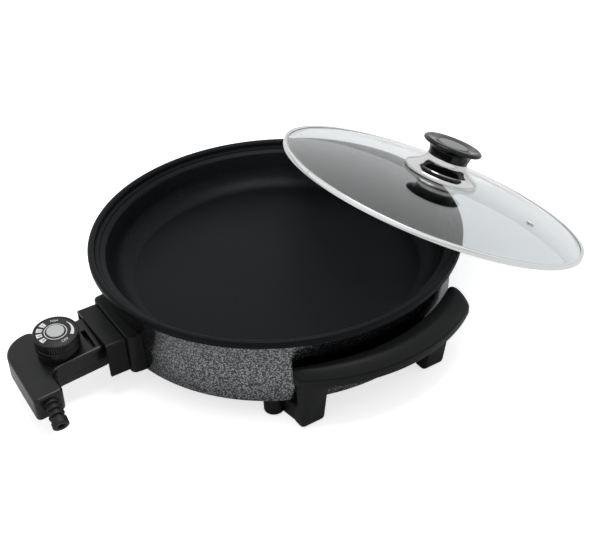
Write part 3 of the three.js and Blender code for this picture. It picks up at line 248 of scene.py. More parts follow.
# The rib is left open where the leads of the element come out.
for vert in casting.verts:
    if (vert.co.z < -5 and 100 < vert.co.xy.length < 125
            and abs(vert.co.x) < LEADS_HALF and vert.co.y < 0):
        vert.co.z = -5
bmesh.ops.remove_doubles(casting, verts=casting.verts, dist=1e-3)
pillar = turned([(0, -3), (9.5, -3, 0.5, 2), (8, -38.4, 0.8, 2), (2.3, -38.4), (2.3, -20), (0, -20)], 32)
add_part(casting, pillar, *[Matrix.Translation((x, y, 0)) for x in (PILLAR_X, -PILLAR_X)
                            for y in (PILLAR_Y, -PILLAR_Y)])
boss = flat_face([(-7.1, -4), (7.1, -4), (7.1, -21.1, 7, 8), (-7.1, -21.1, 7, 8)])
raise_rings(boss, boss.faces[:][0], [(0, 62)])
bmesh.ops.recalc_face_normals(boss, faces=boss.faces)
add_part(casting, boss, Matrix.Translation((0, -122, 0)) @ Matrix.Rotation(pi / 2, 4, "X"))

# Hammertone paint over cast aluminium: silver flake gathers into rounded pools about 2 mm
# across with darker veins between, and the surface is dimpled with them.
hammertone = new_material("hammertone_paint_on_cast_aluminium")
place = add_node(hammertone, "ShaderNodeTexCoord")
waver = add_node(hammertone, "ShaderNodeTexNoise",
                 {"Vector": place.outputs["Object"], "Scale": 300, "Detail": 2})
bent = add_node(hammertone, "ShaderNodeVectorMath",
                {0: waver.outputs["Color"], 1: (0.002, 0.002, 0.002), 2: place.outputs["Object"]},
                operation="MULTIPLY_ADD")
pools = add_node(hammertone, "ShaderNodeTexVoronoi",
                 {"Vector": bent.outputs[0], "Scale": 560, "Smoothness": 0.6}, feature="SMOOTH_F1")
cells = add_node(hammertone, "ShaderNodeTexVoronoi", {"Vector": bent.outputs[0], "Scale": 560})
vein = add_node(hammertone, "ShaderNodeMapRange",
                {"Value": pools.outputs[0], "From Min": 0.15, "From Max": 0.62,
                 "To Min": 0, "To Max": 1}, interpolation_type="SMOOTHSTEP")
pool_tone = add_node(hammertone, "ShaderNodeMix",
                     {0: cells.outputs["Color"], 6: linear("#b4b6b8"), 7: linear("#8c8e90")},
                     data_type="RGBA")
tone = add_node(hammertone, "ShaderNodeMix",
                {0: vein.outputs[0], 6: pool_tone.outputs[2], 7: linear("#4a4b4d")}, data_type="RGBA")
relief = add_node(hammertone, "ShaderNodeBump",
                  {"Height": pools.outputs[0], "Strength": 0.25, "Distance": 0.0003}, invert=True)
skin = add_node(hammertone, "ShaderNodeBsdfPrincipled",
                {"Base Color": tone.outputs[2], "Metallic": 1, "Roughness": 0.14,
                 "Normal": relief.outputs[0]})
add_node(hammertone, "ShaderNodeOutputMaterial", {"Surface": skin.outputs[0]})

skirt = finished("skirt_and_underside", casting, hammertone)
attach(skirt, "pan")
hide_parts("pan_casting")

# ---------------------------------------------------------------- element, pins and sleeve
# A sheathed tubular heater bent to a ring, its two cold pins in ceramic beads, and the closed
# steel sleeve that takes the probe's sensing rod.


def mottled(name, noise, tones, shader, rough=None, relief=None, fine=None):
    """A finish that a noise varies: between its two tones, where two are given, over a range of
    roughness, and in relief. The relief may have a finer noise of its own."""
    material = new_material(name)
    place = add_node(material, "ShaderNodeTexCoord").outputs["Object"]
    grain = add_node(material, "ShaderNodeTexNoise", {"Vector": place, **noise}).outputs[0]
    shader = {"Base Color": linear(tones[0]), **shader}
    if len(tones) == 2:
        tone = add_node(material, "ShaderNodeMix",
                        {0: grain, 6: linear(tones[0]), 7: linear(tones[1])}, data_type="RGBA")
        shader["Base Color"] = tone.outputs[2]
    if rough:
        spread = add_node(material, "ShaderNodeMapRange",
                          {"Value": grain, "From Min": 0.3, "From Max": 0.7,
                           "To Min": rough[0], "To Max": rough[1]})
        shader["Roughness"] = spread.outputs[0]
    if fine:
        grain = add_node(material, "ShaderNodeTexNoise", {"Vector": place, **fine}).outputs[0]
    if relief:
        bump = add_node(material, "ShaderNodeBump", {"Height": grain, **relief})
        shader["Normal"] = bump.outputs[0]
    skin = add_node(material, "ShaderNodeBsdfPrincipled", shader)
    add_node(material, "ShaderNodeOutputMaterial", {"Surface": skin.outputs[0]})
    return material


# Sheath steel, oxidised brown and grey in patches by the heat.
sheath = mottled("element_sheath_oxidised_steel", {"Scale": 120, "Detail": 5}, ("#5b554f", "#8b8278"),
                 {"Metallic": 1, "Roughness": 0.45})

# Steatite: an off-white unglazed ceramic with a fine grain.
steatite = mottled("bead_steatite_ceramic", {"Scale": 2500, "Detail": 3}, ("#cfc9bd", "#e2ddd2"),
                   {"Roughness": 0.6})

# Zinc-plated steel of the screws, nuts, washers and springs: pale, with a faint milky mottle.
plated = mottled("fastener_zinc_plated_steel", {"Scale": 700, "Detail": 4}, ("#b9b8b2",),
                 {"Metallic": 1}, rough=(0.22, 0.4))

# Rolled brass of the contacts and the bimetal blade, a little dulled.
brass = mottled("contact_rolled_brass", {"Scale": 300, "Detail": 4}, ("#c9a45c", "#a98245"),
                {"Metallic": 1, "Roughness": 0.3})


def give(material, *names):
    """Gives a finish to nodes that stay as the frame has them."""
    for name in names:
        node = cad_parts[name]
        node.data.materials.clear()
        node.data.materials.append(material)


give(sheath, "heating_element", "sensor_sleeve")
give(steatite, "ceramic_bead_left", "ceramic_bead_right")
give(plated, "terminal_pin_left", "terminal_pin_right", "bracket_screw_left", "bracket_screw_right",
     "bracket_nut_left", "bracket_nut_right", "knob_washer", "knob_screw", "thermostat_frame",
     "contact_spring", "dial_shaft", "shell_screw_neck", "shell_screw_arm", "shell_screw_cord",
     "sensing_rod",
     *[f"handle_{kind}_{side}_{end}" for kind in ("washer", "screw")
       for side in ("left", "right") for end in ("front", "rear")])
give(brass, "contact_sleeve_left", "contact_sleeve_right", "bus_bar_left", "bus_bar_right",
     "bimetal_blade")

# ---------------------------------------------------------------- socket bracket
# A black phenolic flange screwed to the skirt, and on it a hood, open at the front and below,
# that the probe's nose pushes into. Both are compression moulded.
FLANGE_HALF, FLANGE_TOP, FLANGE_FOOT, FLANGE_FACE, FLANGE_DEPTH = 43, 10, -35, 199, 15
PIN_X, PIN_Z, PIN_WELL_RADIUS, PIN_WELL_DEPTH = 12, -14, 5.3, 7.6


def cut_faces(bm, faces, axis, position):
    """Adds edges where a plane square to an axis crosses the faces, and returns the faces then."""
    point, normal = Vector((0, 0, 0)), Vector((0, 0, 0))
    point[axis], normal[axis] = position, 1
    edges = {edge for face in faces for edge in face.edges}
    verts = {vert for face in faces for vert in face.verts}
    cut = bmesh.ops.bisect_plane(bm, geom=[*faces, *edges, *verts], plane_co=point, plane_no=normal,
                                 dist=1e-4)["geom"]
    return [part for part in cut if isinstance(part, bmesh.types.BMFace)]


def cut_planes(bm, axis, positions, chosen=lambda face: True):
    for position in positions:
        cut_faces(bm, [face for face in bm.faces if chosen(face)], axis, position)


def bevel_edges(bm, chosen, width, steps=3):
    edges = [edge for edge in bm.edges if chosen(*[vert.co for vert in edge.verts])]
    bmesh.ops.bevel(bm, geom=edges, offset=width, offset_type="OFFSET", segments=steps, profile=0.5,
                    affect="EDGES", material=-1, clamp_overlap=True)


def round_well(bm, face, centre, radius, depth):
    """Sinks a round hole of a radius and depth into a flat face round its centre."""
    normal = face.normal.copy()
    bmesh.ops.inset_region(bm, faces=[face], thickness=0.2)
    bmesh.ops.subdivide_edges(bm, edges=face.edges[:], cuts=5)
    for vert in face.verts:
        away = vert.co - centre
        vert.co = centre + away.normalized() * radius
    floor = bmesh.ops.extrude_discrete_faces(bm, faces=[face])["faces"][0]
    bmesh.ops.translate(bm, verts=floor.verts[:], vec=-normal * depth)


def block(size, centre=(0, 0, 0)):
    bm = bmesh.new()
    bmesh.ops.create_cube(bm, size=1)
    bmesh.ops.scale(bm, vec=Vector(size), verts=bm.verts)
    bmesh.ops.translate(bm, vec=Vector(centre), verts=bm.verts)
    return bm


def in_front(face):
    return face.normal.y < -0.99


flange = block((2 * FLANGE_HALF, FLANGE_DEPTH, FLANGE_TOP - FLANGE_FOOT),
               (0, -FLANGE_FACE + FLANGE_DEPTH / 2, (FLANGE_TOP + FLANGE_FOOT) / 2))
bevel_edges(flange, lambda a, b: a.y < -195 and b.y < -195 and abs(a.x - b.x) < 0.1, 6, 6)
bevel_edges(flange, lambda a, b: a.z == b.z and min(a.y, b.y) < -192 and abs(a.y - b.y) < 3.5
            and max(a.y, b.y) < -191.9, 1.4, 3)
cut_planes(flange, 0, [-36, -28, -18, -6, 6, 18, 28, 36])
cut_planes(flange, 2, [PIN_Z - 6, PIN_Z + 6], in_front)
for vert in flange.verts:
    if vert.co.y > -188:
        vert.co.y = -sqrt((skirt_radius(vert.co.z) + 0.3) ** 2 - vert.co.x ** 2)
for x in (-PIN_X, 0, PIN_X):
    middle = Vector((x, -FLANGE_FACE, PIN_Z))
    cell = next(face for face in flange.faces
                if in_front(face) and (face.calc_center_median() - middle).length < 0.5)
    round_well(flange, cell, middle, PIN_WELL_RADIUS, PIN_WELL_DEPTH)
bmesh.ops.recalc_face_normals(flange, faces=flange.faces)

# Phenolic resin, compression moulded: black, with a satin skin and a faint flow mottle a few
# millimetres across.
phenolic = mottled("bracket_and_handle_black_phenolic",
                   {"Scale": 160, "Detail": 4, "Roughness": 0.6}, ("#101112", "#161718"),
                   {"Specular IOR Level": 0.14, "IOR": 1.5}, rough=(0.32, 0.42),
                   relief={"Strength": 0.2, "Distance": 0.0001}, fine={"Scale": 1400, "Detail": 2})

flange_piece = finished("bracket_flange", flange, phenolic)
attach(flange_piece, "pan")
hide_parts("socket_flange")

COLLAR_HALF, COLLAR_TOP, COLLAR_FOOT, COLLAR_WALL = 37.3, 6.8, -32.1, 3.5
COLLAR_NEAR, COLLAR_SEAT, COLLAR_FAR = 199.3, 202.3, 219.9
NOSE_HALF, NOSE_RISE = 19.5, 8
collar = block((2 * COLLAR_HALF, COLLAR_SEAT - COLLAR_NEAR, COLLAR_TOP - COLLAR_FOOT),
               (0, -(COLLAR_SEAT + COLLAR_NEAR) / 2, (COLLAR_TOP + COLLAR_FOOT) / 2))
inside = COLLAR_HALF - COLLAR_WALL
cut_planes(collar, 0, [-inside, -NOSE_HALF, NOSE_HALF, inside])
cut_planes(collar, 2, [COLLAR_TOP - COLLAR_WALL, PIN_Z - NOSE_RISE, PIN_Z + NOSE_RISE])
hood = [face for face in collar.faces if face.normal.y < -0.9
        and (abs(face.calc_center_median().x) > inside
             or face.calc_center_median().z > COLLAR_TOP - COLLAR_WALL)]
grown = bmesh.ops.extrude_face_region(collar, geom=hood)["geom"]
bmesh.ops.delete(collar, geom=[face for face in hood if face.is_valid], context="FACES_ONLY")
bmesh.ops.translate(collar, vec=Vector((0, COLLAR_SEAT - COLLAR_FAR, 0)),
                    verts=[part for part in grown if isinstance(part, bmesh.types.BMVert)])
edges = take_out(collar, lambda at: abs(at.x) < NOSE_HALF and abs(at.z - PIN_Z) < NOSE_RISE)
bmesh.ops.bridge_loops(collar, edges=edges)
bmesh.ops.remove_doubles(collar, verts=collar.verts, dist=1e-3)
bmesh.ops.recalc_face_normals(collar, faces=collar.faces)
bevel_edges(collar, lambda a, b: abs(a.x) > COLLAR_HALF - 0.1 and abs(b.x) > COLLAR_HALF - 0.1
            and a.z > COLLAR_TOP - 0.1 and b.z > COLLAR_TOP - 0.1 and a.x * b.x > 0, 4, 5)
collar_piece = finished("bracket_hood", collar, phenolic)
hood_edges = collar_piece.modifiers.new("softened_edges", "BEVEL")
hood_edges.width, hood_edges.segments, hood_edges.limit_method = 0.0006, 3, "ANGLE"
hood_edges.angle_limit = radians(40)
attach(collar_piece, "pan")
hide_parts("socket_collar")

# ---------------------------------------------------------------- handles
# Each handle is one phenolic moulding: a hollow crescent grip on two slanting posts that are also
# the pan's feet, and a web from each post to a boss, screwed up into a pillar of the casting.
# In plan the grip has a bowed outer edge, an inner edge that follows the skirt, and square ends
# with round corners. It sits a little to the rear of its posts.
GRIP_SHIFT, GRIP_HALF, GRIP_FOOT, GRIP_CREST = 13.5, 104.5, -7, 11
GRIP_OUTER, GRIP_CENTRE, GRIP_INNER = 179, 40.5, 193
OUTER_ROUND, REAR_ROUND, FRONT_ROUND = 12, 7, 4
SLOPE_OUT, SLOPE_IN, SLOPE_END = 17, 5, 7
GRIP_WALL, GRIP_SHEET = 2.6, 3


def corner_centre(radius, origin, end, rounding):
    """Centre of a corner's round at one end of the grip, beside an arc about a point on X."""
    y = GRIP_SHIFT + end * (GRIP_HALF - rounding)
    rise = y - origin.y
    return Vector((origin.x + sqrt(radius ** 2 - rise ** 2), y, GRIP_FOOT))


def crown(point):
    """Height of the grip's top: highest near the skirt, falling to the outer edge and the ends."""
    across, along = point.x - GRIP_CENTRE, point.y - GRIP_SHIFT
    from_outer = GRIP_OUTER - hypot(across, along)
    from_inner = hypot(point.x, point.y) - GRIP_INNER
    from_end = GRIP_HALF - abs(along)
    fall = 10 * max(0, 1 - from_outer / SLOPE_OUT) ** 1.9 + 2.5 * max(0, 1 - from_inner / SLOPE_IN) ** 2
    return GRIP_CREST - fall - 2.5 * max(0, 1 - from_end / SLOPE_END) ** 2


def set_radius(vert, radius):
    """Moves a point straight out or in to a distance from the Z axis."""
    ratio = radius / vert.co.xy.length
    vert.co.x, vert.co.y = vert.co.x * ratio, vert.co.y * ratio


bow, axis = Vector((GRIP_CENTRE, GRIP_SHIFT, GRIP_FOOT)), Vector((0, 0, GRIP_FOOT))
outer_rounds = [corner_centre(GRIP_OUTER - OUTER_ROUND, bow, end, OUTER_ROUND) for end in (-1, 1)]
rear = corner_centre(GRIP_INNER + REAR_ROUND, axis, 1, REAR_ROUND)
front = corner_centre(GRIP_INNER + FRONT_ROUND, axis, -1, FRONT_ROUND)
bow_end = atan2(outer_rounds[1].y - bow.y, outer_rounds[1].x - bow.x)
rear_end, front_end = atan2(rear.y, rear.x), atan2(front.y, front.x)
grip = bmesh.new()
grip.verts.layers.int.new("ring")
for middle, radius, start, end, steps in (
    (bow, GRIP_OUTER, -bow_end, bow_end, 40),
    (outer_rounds[1], OUTER_ROUND, bow_end, pi / 2, 8),
    (rear, REAR_ROUND, pi / 2, pi + rear_end, 8),
    (axis, GRIP_INNER, rear_end, front_end, 40),
    (front, FRONT_ROUND, pi + front_end, 1.5 * pi, 4),
    (outer_rounds[0], OUTER_ROUND, -pi / 2, -bow_end, 8),
):
    angles = [start + (end - start) * i / steps for i in range(steps + 1)]
    points = [middle + Vector((radius * cos(angle), radius * sin(angle), 0)) for angle in angles]
    for a, b in zip(points, points[1:]):
        grip.edges.new((grip.verts.new(a), grip.verts.new(b)))
for a, b in ((outer_rounds[1].x, rear.x), (front.x, outer_rounds[0].x)):
    y = GRIP_SHIFT + GRIP_HALF * (1 if a > b else -1)
    points = [Vector((a + (b - a) * i / 6, y, GRIP_FOOT)) for i in range(7)]
    for c, d in zip(points, points[1:]):
        grip.edges.new((grip.verts.new(c), grip.verts.new(d)))
bmesh.ops.remove_doubles(grip, verts=grip.verts, dist=1e-3)
bmesh.ops.contextual_create(grip, geom=grip.edges[:])
base = grip.faces[:][0]
# A fine groove runs round the edge of the grip's top. From below the grip is hollow.
top = raise_rings(grip, base, [
    (inset, lambda point, below=below: crown(point) - below)
    for inset, below in ((0, 0.9), (0.25, 0.6), (0.35, 0.6), (0.02, 1.4), (0.55, 1.4), (0.02, 0.5),
                         (0.25, 0.15), (0.5, 0))
])
raise_rings(grip, base, [(GRIP_WALL, GRIP_FOOT)])
raise_rings(grip, base, [(0.01, lambda point: crown(point) - GRIP_SHEET)])
cuts_along, cuts_across = range(-88, 118, 4), range(152, 219, 3)
for field, sunk in ((top, 0), (base, GRIP_SHEET)):
    rim, cells = set(field.verts), [field]
    for across, places in ((1, cuts_along), (0, cuts_across)):
        for place in places:
            cells = cut_faces(grip, cells, across, place)
    for vert in {vert for face in cells for vert in face.verts} - rim:
        vert.co.z = crown(vert.co) - sunk
bmesh.ops.recalc_face_normals(grip, faces=grip.faces)

# Posts: a slanting outer face, and an inner side that drops straight from a step below the grip and
# then leans in to a round foot on the table. Both come from one post, stretched and shifted along Y.
POST_NEAR, POST_FAR = 62.6, 84
POST_FITS = ((1.215, 12.1), (1.168, 157.1))
post = flat_face([(171, -60, 3, 4), (187, -60, 6, 6), (197.5, -7), (197.5, 0), (184.5, 0),
                  (184.5, -7), (177, -7), (177, -34, 3, 3), (171, -38, 2, 3)])
raise_rings(post, post.faces[:][0], [(0, POST_FAR - POST_NEAR)])
bmesh.ops.recalc_face_normals(post, faces=post.faces)
bevel_edges(post, lambda a, b: abs(a.z - b.z) < 0.1 and (a.y + b.y) < -1, 4.2, 7)
cut_planes(post, 2, [5, 10.7, 16])
cut_planes(post, 1, [-40, -33, -20])
bmesh.ops.transform(post, matrix=Matrix.Rotation(pi / 2, 4, "X"), verts=post.verts)
bmesh.ops.translate(post, vec=Vector((0, -POST_NEAR, 0)), verts=post.verts)
for vert in post.verts:
    clear = skirt_radius(vert.co.z) + 0.6
    if vert.co.z > SKIRT_FOOT - 1 and vert.co.xy.length < clear:
        set_radius(vert, clear)
posts = [Matrix.Translation((0, shift, 0)) @ Matrix.Scale(stretch, 4, (0, 1, 0))
         for stretch, shift in POST_FITS]
add_part(grip, post, *posts)
for vert in grip.verts:
    away = Vector((vert.co.x - GRIP_CENTRE, vert.co.y - GRIP_SHIFT))
    if away.length > GRIP_OUTER:
        away = away.normalized() * (GRIP_OUTER - 0.05)
        vert.co.x, vert.co.y = GRIP_CENTRE + away.x, GRIP_SHIFT + away.y

# Webs and bosses, low down under the pan, with a well in each boss for the washer and screw.
BOSS_FOOT, WEB_WIDTH, WEB_HEIGHT, WEB_LEVEL = -58, 13, 19, -49.5
web_start, web_end = Vector((148, 86)), Vector((178, 82))
run, middle = web_end - web_start, (web_end + web_start) / 2
web = block((run.length, WEB_WIDTH, WEB_HEIGHT))
bevel_edges(web, lambda a, b: abs(a.y - b.y) < 0.1 and abs(a.z - b.z) < 0.1, 1.5, 3)
add_part(grip, web, *[Matrix.Translation((middle.x, side * middle.y, WEB_LEVEL))
                      @ Matrix.Rotation(side * atan2(run.y, run.x), 4, "Z") for side in (1, -1)])
boss = turned([(2.3, -39.4), (10.4, -39.4, 0.8, 3), (10.4, BOSS_FOOT, 1.2, 4), (5.1, BOSS_FOOT, 0.4, 2),
               (5.1, -52), (2.3, -52)], 40)
add_part(grip, boss, *[Matrix.Translation((PILLAR_X, y, 0)) for y in (PILLAR_Y, -PILLAR_Y)])

left_grip = grip.copy()
bmesh.ops.rotate(left_grip, cent=(0, 0, 0), matrix=Matrix.Rotation(pi, 3, "Z"), verts=left_grip.verts)
for side, shape in (("right", grip), ("left", left_grip)):
    handle = finished(f"grip_and_feet_{side}", shape, phenolic)
    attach(handle, "pan")
    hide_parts(f"handle_{side}")

# ---------------------------------------------------------------- lid glass
# A domed disc of toughened soda-lime glass, pressed and clear. It lies loose: its low edge stands on
# the table behind the pan, and it leans on the rim.
LEAN, LID_AZIMUTH = radians(25.2), radians(87.4)
down = Vector((cos(LID_AZIMUTH) * cos(LEAN), sin(LID_AZIMUTH) * cos(LEAN), -sin(LEAN)))
normal = Vector((cos(LID_AZIMUTH) * sin(LEAN), sin(LID_AZIMUTH) * sin(LEAN), cos(LEAN)))
lid_place = (Matrix.Translation((16.18, 204.26, 18.86))
             @ Matrix((down.cross(normal), down, normal)).transposed().to_4x4())
DOME_RADIUS, DOME_RISE, DOME_POWER, GLASS, GLASS_EDGE = 180, 20.2, 2.6, 3.5, 183.4
BAND_SHEET, FIT = 0.8, 0.3


def glass_top(r):
    share = min(r / DOME_RADIUS, 1)
    return BAND_SHEET + FIT + GLASS + DOME_RISE * (1 - share ** DOME_POWER)


rings = [DOME_RADIUS * i / 30 for i in range(31)]
dome = turned([
    *[(r, glass_top(r)) for r in rings], (GLASS_EDGE, glass_top(DOME_RADIUS), 0.8, 3),
    (GLASS_EDGE, glass_top(DOME_RADIUS) - GLASS, 0.8, 3),
    *[(r, glass_top(r) - GLASS) for r in reversed(rings)],
], 160)

# Clear glass, smooth, with the slow ripple of pressing. Its index is set above real glass (1.52), and
# its body is greyed, for the strong veil that the lid draws over what is behind it.
clear_glass = mottled("lid_clear_soda_lime_glass", {"Scale": 18, "Detail": 1}, ("#c6cacc",),
                      {"Roughness": 0, "IOR": 1.62, "Transmission Weight": 1},
                      relief={"Strength": 0.08, "Distance": 0.0006})

glass = finished("dome_glass", dome, clear_glass, lid_place)
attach(glass, "lid")
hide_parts("lid_glass")

# ---------------------------------------------------------------- lid band and vent
# A stainless strip rolled round the edge of the glass and butted at one seam, and the small
# flanged tube that lets the steam out.
BAND, BAND_LIP = 184.1, 4
SEAM_ANGLE, SEAM_GAP = radians(-90), 0.5
under, over = glass_top(DOME_RADIUS) - GLASS - FIT, glass_top(DOME_RADIUS) + FIT
band = turned([
    (BAND - BAND_LIP, 0), (BAND, 0, 0.5, 3), (BAND, over + BAND_SHEET, 0.7, 4),
    (BAND - BAND_LIP, over + BAND_SHEET, 0.2, 2), (BAND - BAND_LIP, over),
    (BAND - BAND_SHEET, over), (BAND - BAND_SHEET, under), (BAND - BAND_LIP, under),
], 240, 2 * pi - SEAM_GAP / BAND)
bmesh.ops.holes_fill(band, edges=[edge for edge in band.edges if edge.is_boundary])
bmesh.ops.recalc_face_normals(band, faces=band.faces)

# Stainless strip, rolled bright: its sheen drifts a little along the strip.
stainless = mottled("band_bright_rolled_stainless", {"Scale": 60, "Detail": 4}, ("#dfe0e0",),
                    {"Metallic": 1}, rough=(0.1, 0.2))
band_piece = finished("edge_band", band, stainless,
                      lid_place @ Matrix.Rotation(SEAM_ANGLE, 4, "Z"))
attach(band_piece, "lid")
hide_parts("lid_band")

VENT_RADIUS, VENT_ANGLE = 116, radians(31.6)
half = GLASS / 2 + 0.8
grommet = turned([(1.6, -half - 0.8), (5, -half - 0.8, 0.3, 2), (5, -half), (2.9, -half), (2.9, half),
                  (5, half), (5, half + 0.8, 0.6, 3), (3.4, half + 0.8), (2.9, half + 0.5),
                  (1.6, half + 0.5, 0.4, 3)], 48)
slope = (glass_top(VENT_RADIUS - 1) - glass_top(VENT_RADIUS + 1)) / 2
tilt = Vector((slope * cos(VENT_ANGLE), slope * sin(VENT_ANGLE), 1)).to_track_quat("Z", "Y")
vent_place = Matrix.Translation((VENT_RADIUS * cos(VENT_ANGLE), VENT_RADIUS * sin(VENT_ANGLE),
                                 glass_top(VENT_RADIUS) - GLASS / 2)) @ tilt.to_matrix().to_4x4()
vent = finished("steam_vent", grommet, stainless, lid_place @ vent_place)
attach(vent, "lid")
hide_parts("vent_grommet")

# ---------------------------------------------------------------- lid knob
# A bell of polished stainless with an oblong opening at one side, round a black core; on top a
# glossy phenolic spool with a matt grey disc let in. One screw from below holds them.
BELL_BASE, BELL_TOP, BELL_HEIGHT, SHEET, BELL_FOOT, BELL_POWER = 44, 24.5, 21, 1.6, 4, 2.3
BELL_STEPS, BELL_BORE = 144, 16.3
bell_foot = glass_top(BELL_BASE - 3) + 0.6
bell_head = bell_foot + BELL_HEIGHT
SLOT_LENGTH, SLOT_HEIGHT, SLOT_ANGLE, SLOT_SHARE = 46, 9.4, radians(-40), 0.42
SLOT_TAPER, SLOT_END = 4, 0.12
slot_middle = bell_foot + BELL_FOOT + SLOT_SHARE * BELL_HEIGHT


def bell(height, inset=0):
    """Radius of the bell at a height above the glass."""
    share = max(0, min(1, (height - bell_foot - BELL_FOOT) / (BELL_HEIGHT - BELL_FOOT)))
    return BELL_TOP + (BELL_BASE - BELL_TOP) * (1 - share) ** BELL_POWER - inset


low, high = slot_middle - SLOT_HEIGHT / 2, slot_middle + SLOT_HEIGHT / 2
rows = [bell_foot + BELL_FOOT, bell_foot + 5.6, low, slot_middle - 2, slot_middle, slot_middle + 2,
        high, high + 1.4, bell_head - 0.6]
bell_shell = turned([
    (BELL_BASE, bell_foot), (BELL_BASE, rows[0], 1.6, 4), *[(bell(z), z) for z in rows[1:]],
    (BELL_TOP, bell_head, 0.5, 3), (BELL_BORE, bell_head), (BELL_BORE, bell_head - SHEET),
    (BELL_TOP - SHEET, bell_head - SHEET), *[(bell(z, SHEET), z) for z in reversed(rows[:-1])],
    (BELL_BASE - SHEET, bell_foot),
], BELL_STEPS)
# The slot: columns of faces are taken out, and its height tapers over the last few at each end.
column_angle = 2 * pi / BELL_STEPS
columns = round(asin(SLOT_LENGTH / 2 / bell(slot_middle)) / column_angle)
edges = take_out(bell_shell, lambda at: low < at.z < high and at.xy.length > 25
                 and abs(atan2(at.y, at.x)) < (columns + 0.1) * column_angle)
for vert in {vert for edge in edges for vert in edge.verts}:
    column = abs(atan2(vert.co.y, vert.co.x)) / column_angle
    past = max(0, (column - (columns - SLOT_TAPER)) / SLOT_TAPER)
    reach = sqrt(max(0, 1 - past ** 2))
    level = (vert.co.z - slot_middle) * (SLOT_END + (1 - SLOT_END) * reach)
    skin_gap = bell(vert.co.z) - vert.co.xy.length
    vert.co.z = slot_middle + level
    set_radius(vert, bell(slot_middle + level) - skin_gap)
bmesh.ops.bridge_loops(bell_shell, edges=edges)
bmesh.ops.recalc_face_normals(bell_shell, faces=bell_shell.faces)

# Polished stainless: a mirror with the slight softness of a buffed pressing.
polished = mottled("knob_bell_polished_stainless", {"Scale": 90, "Detail": 3}, ("#cfcfcf",),
                   {"Metallic": 1}, rough=(0.07, 0.14))
bell_piece = finished("knob_bell", bell_shell, polished,
                      lid_place @ Matrix.Rotation(SLOT_ANGLE, 4, "Z"))
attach(bell_piece, "lid")
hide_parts("knob_skirt")

# Glossy black phenolic, buffed after moulding, with faint polishing waves.
gloss = mottled("knob_gloss_black_phenolic", {"Scale": 130, "Detail": 2}, ("#050505", "#0a0a0b"),
                {"Roughness": 0.12, "IOR": 1.5, "Specular IOR Level": 0.26},
                relief={"Strength": 0.15, "Distance": 0.0002})

CORE_GAP = 2.3
core = turned([(16.2, bell_foot + 0.4), (bell(rows[1], CORE_GAP), bell_foot + 0.4),
               *[(bell(z, CORE_GAP), z) for z in rows[1:-1]], (BELL_TOP - 2.4, bell_head - 2.2),
               (16.2, bell_head - 2.2)], 96)
core_piece = finished("knob_core", core, gloss, lid_place)
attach(core_piece, "lid")

SPOOL_HEIGHT, SPOOL_WELL, STEM, SCREW_HOLE, DISC_SEAT = 18, 4, 16, 2.3, 18.3
knob_foot = bell_head + FIT
knob_top = knob_foot + SPOOL_HEIGHT
well = knob_top - SPOOL_WELL
apex = glass_top(0) + 1.8
spool = turned([
    (SCREW_HOLE, apex), (STEM, apex), (STEM, knob_foot), (23.6, knob_foot, 0.6, 3),
    (24.2, knob_foot + 5, 4, 4), (26, knob_top - 8, 2, 4), (30, knob_top - 6, 2.2, 4),
    (34.4, knob_top - 5, 1.2, 5), (35.6, knob_top - 2.6, 1.4, 5), (33.2, knob_top - 0.2, 1.6, 5),
    (31, knob_top, 1, 3), (DISC_SEAT, knob_top - 1.6, 0.3, 2), (DISC_SEAT, well), (SCREW_HOLE, well),
], 96)
spool_piece = finished("knob_spool", spool, gloss, lid_place)
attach(spool_piece, "lid")
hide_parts("knob_body")

# Grey thermoplastic disc with a fine spark-eroded grain.
insert_grey = mottled("knob_insert_matt_grey_plastic", {"Scale": 1600, "Detail": 3},
                      ("#747678", "#828486"), {"Roughness": 0.5},
                      relief={"Strength": 0.3, "Distance": 0.0001})
insert = turned([(0, well + FIT), (DISC_SEAT - FIT, well + FIT),
                 (DISC_SEAT - FIT, well + 2.7, 0.5, 4), (0, well + 2.7)], 72)
insert_piece = finished("knob_top_disc", insert, insert_grey, lid_place)
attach(insert_piece, "lid")
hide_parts("knob_insert")

# ---------------------------------------------------------------- probe body
# The thermostat probe: two black plastic shells with a parting line between them, moulded as a neck
# that meets a cross arm, with a finger hollow in the top of the neck near the pan.
ROLL, DROOP, LEVEL = radians(5.5), 0.08, 225
HALF_HEIGHT, SPLIT = 14, -4
probe_place = Matrix.Translation((0, 0, PIN_Z)) @ Matrix.Rotation(ROLL, 4, "Y")
lean = Matrix(((1, 0, 0, 0), (0, 1, 0, 0), (0, DROOP, 1, DROOP * LEVEL), (0, 0, 0, 1)))
body_outline = [(-42, -304, 26, 14), (52, -304, 5, 6), (52, -274, 5, 6), (23, -274, 9, 7),
                (23, -213.5, 4.2, 5), (-29, -213.5, 4.2, 5), (-29, -262, 2.5, 4), (-42, -272, 4.2, 4)]
HOLLOW_X, HOLLOW_Y, HOLLOW_DEPTH = (-10, 18.6), (-229.5, -224), 8


def shell(split, end, soft):
    """Half of the body, from the parting line to its far face, with a rounded edge."""
    bm = flat_face(body_outline)
    way = 1 if end > split else -1
    rings = [(0, end - way * soft)]
    last = 0
    for angle in (radians(18 * step) for step in range(1, 6)):
        inset = soft * (1 - cos(angle))
        rings.append((inset - last, end - way * soft * (1 - sin(angle))))
        last = inset
    rings.append((0.8, end))
    for vert in bm.verts:
        vert.co.z = split
    raise_rings(bm, bm.faces[:][0], rings)
    bmesh.ops.recalc_face_normals(bm, faces=bm.faces)
    return bm


def on_top(face):
    return abs(face.normal.z) > 0.99 and abs(face.calc_center_median().z - HALF_HEIGHT) < 0.01


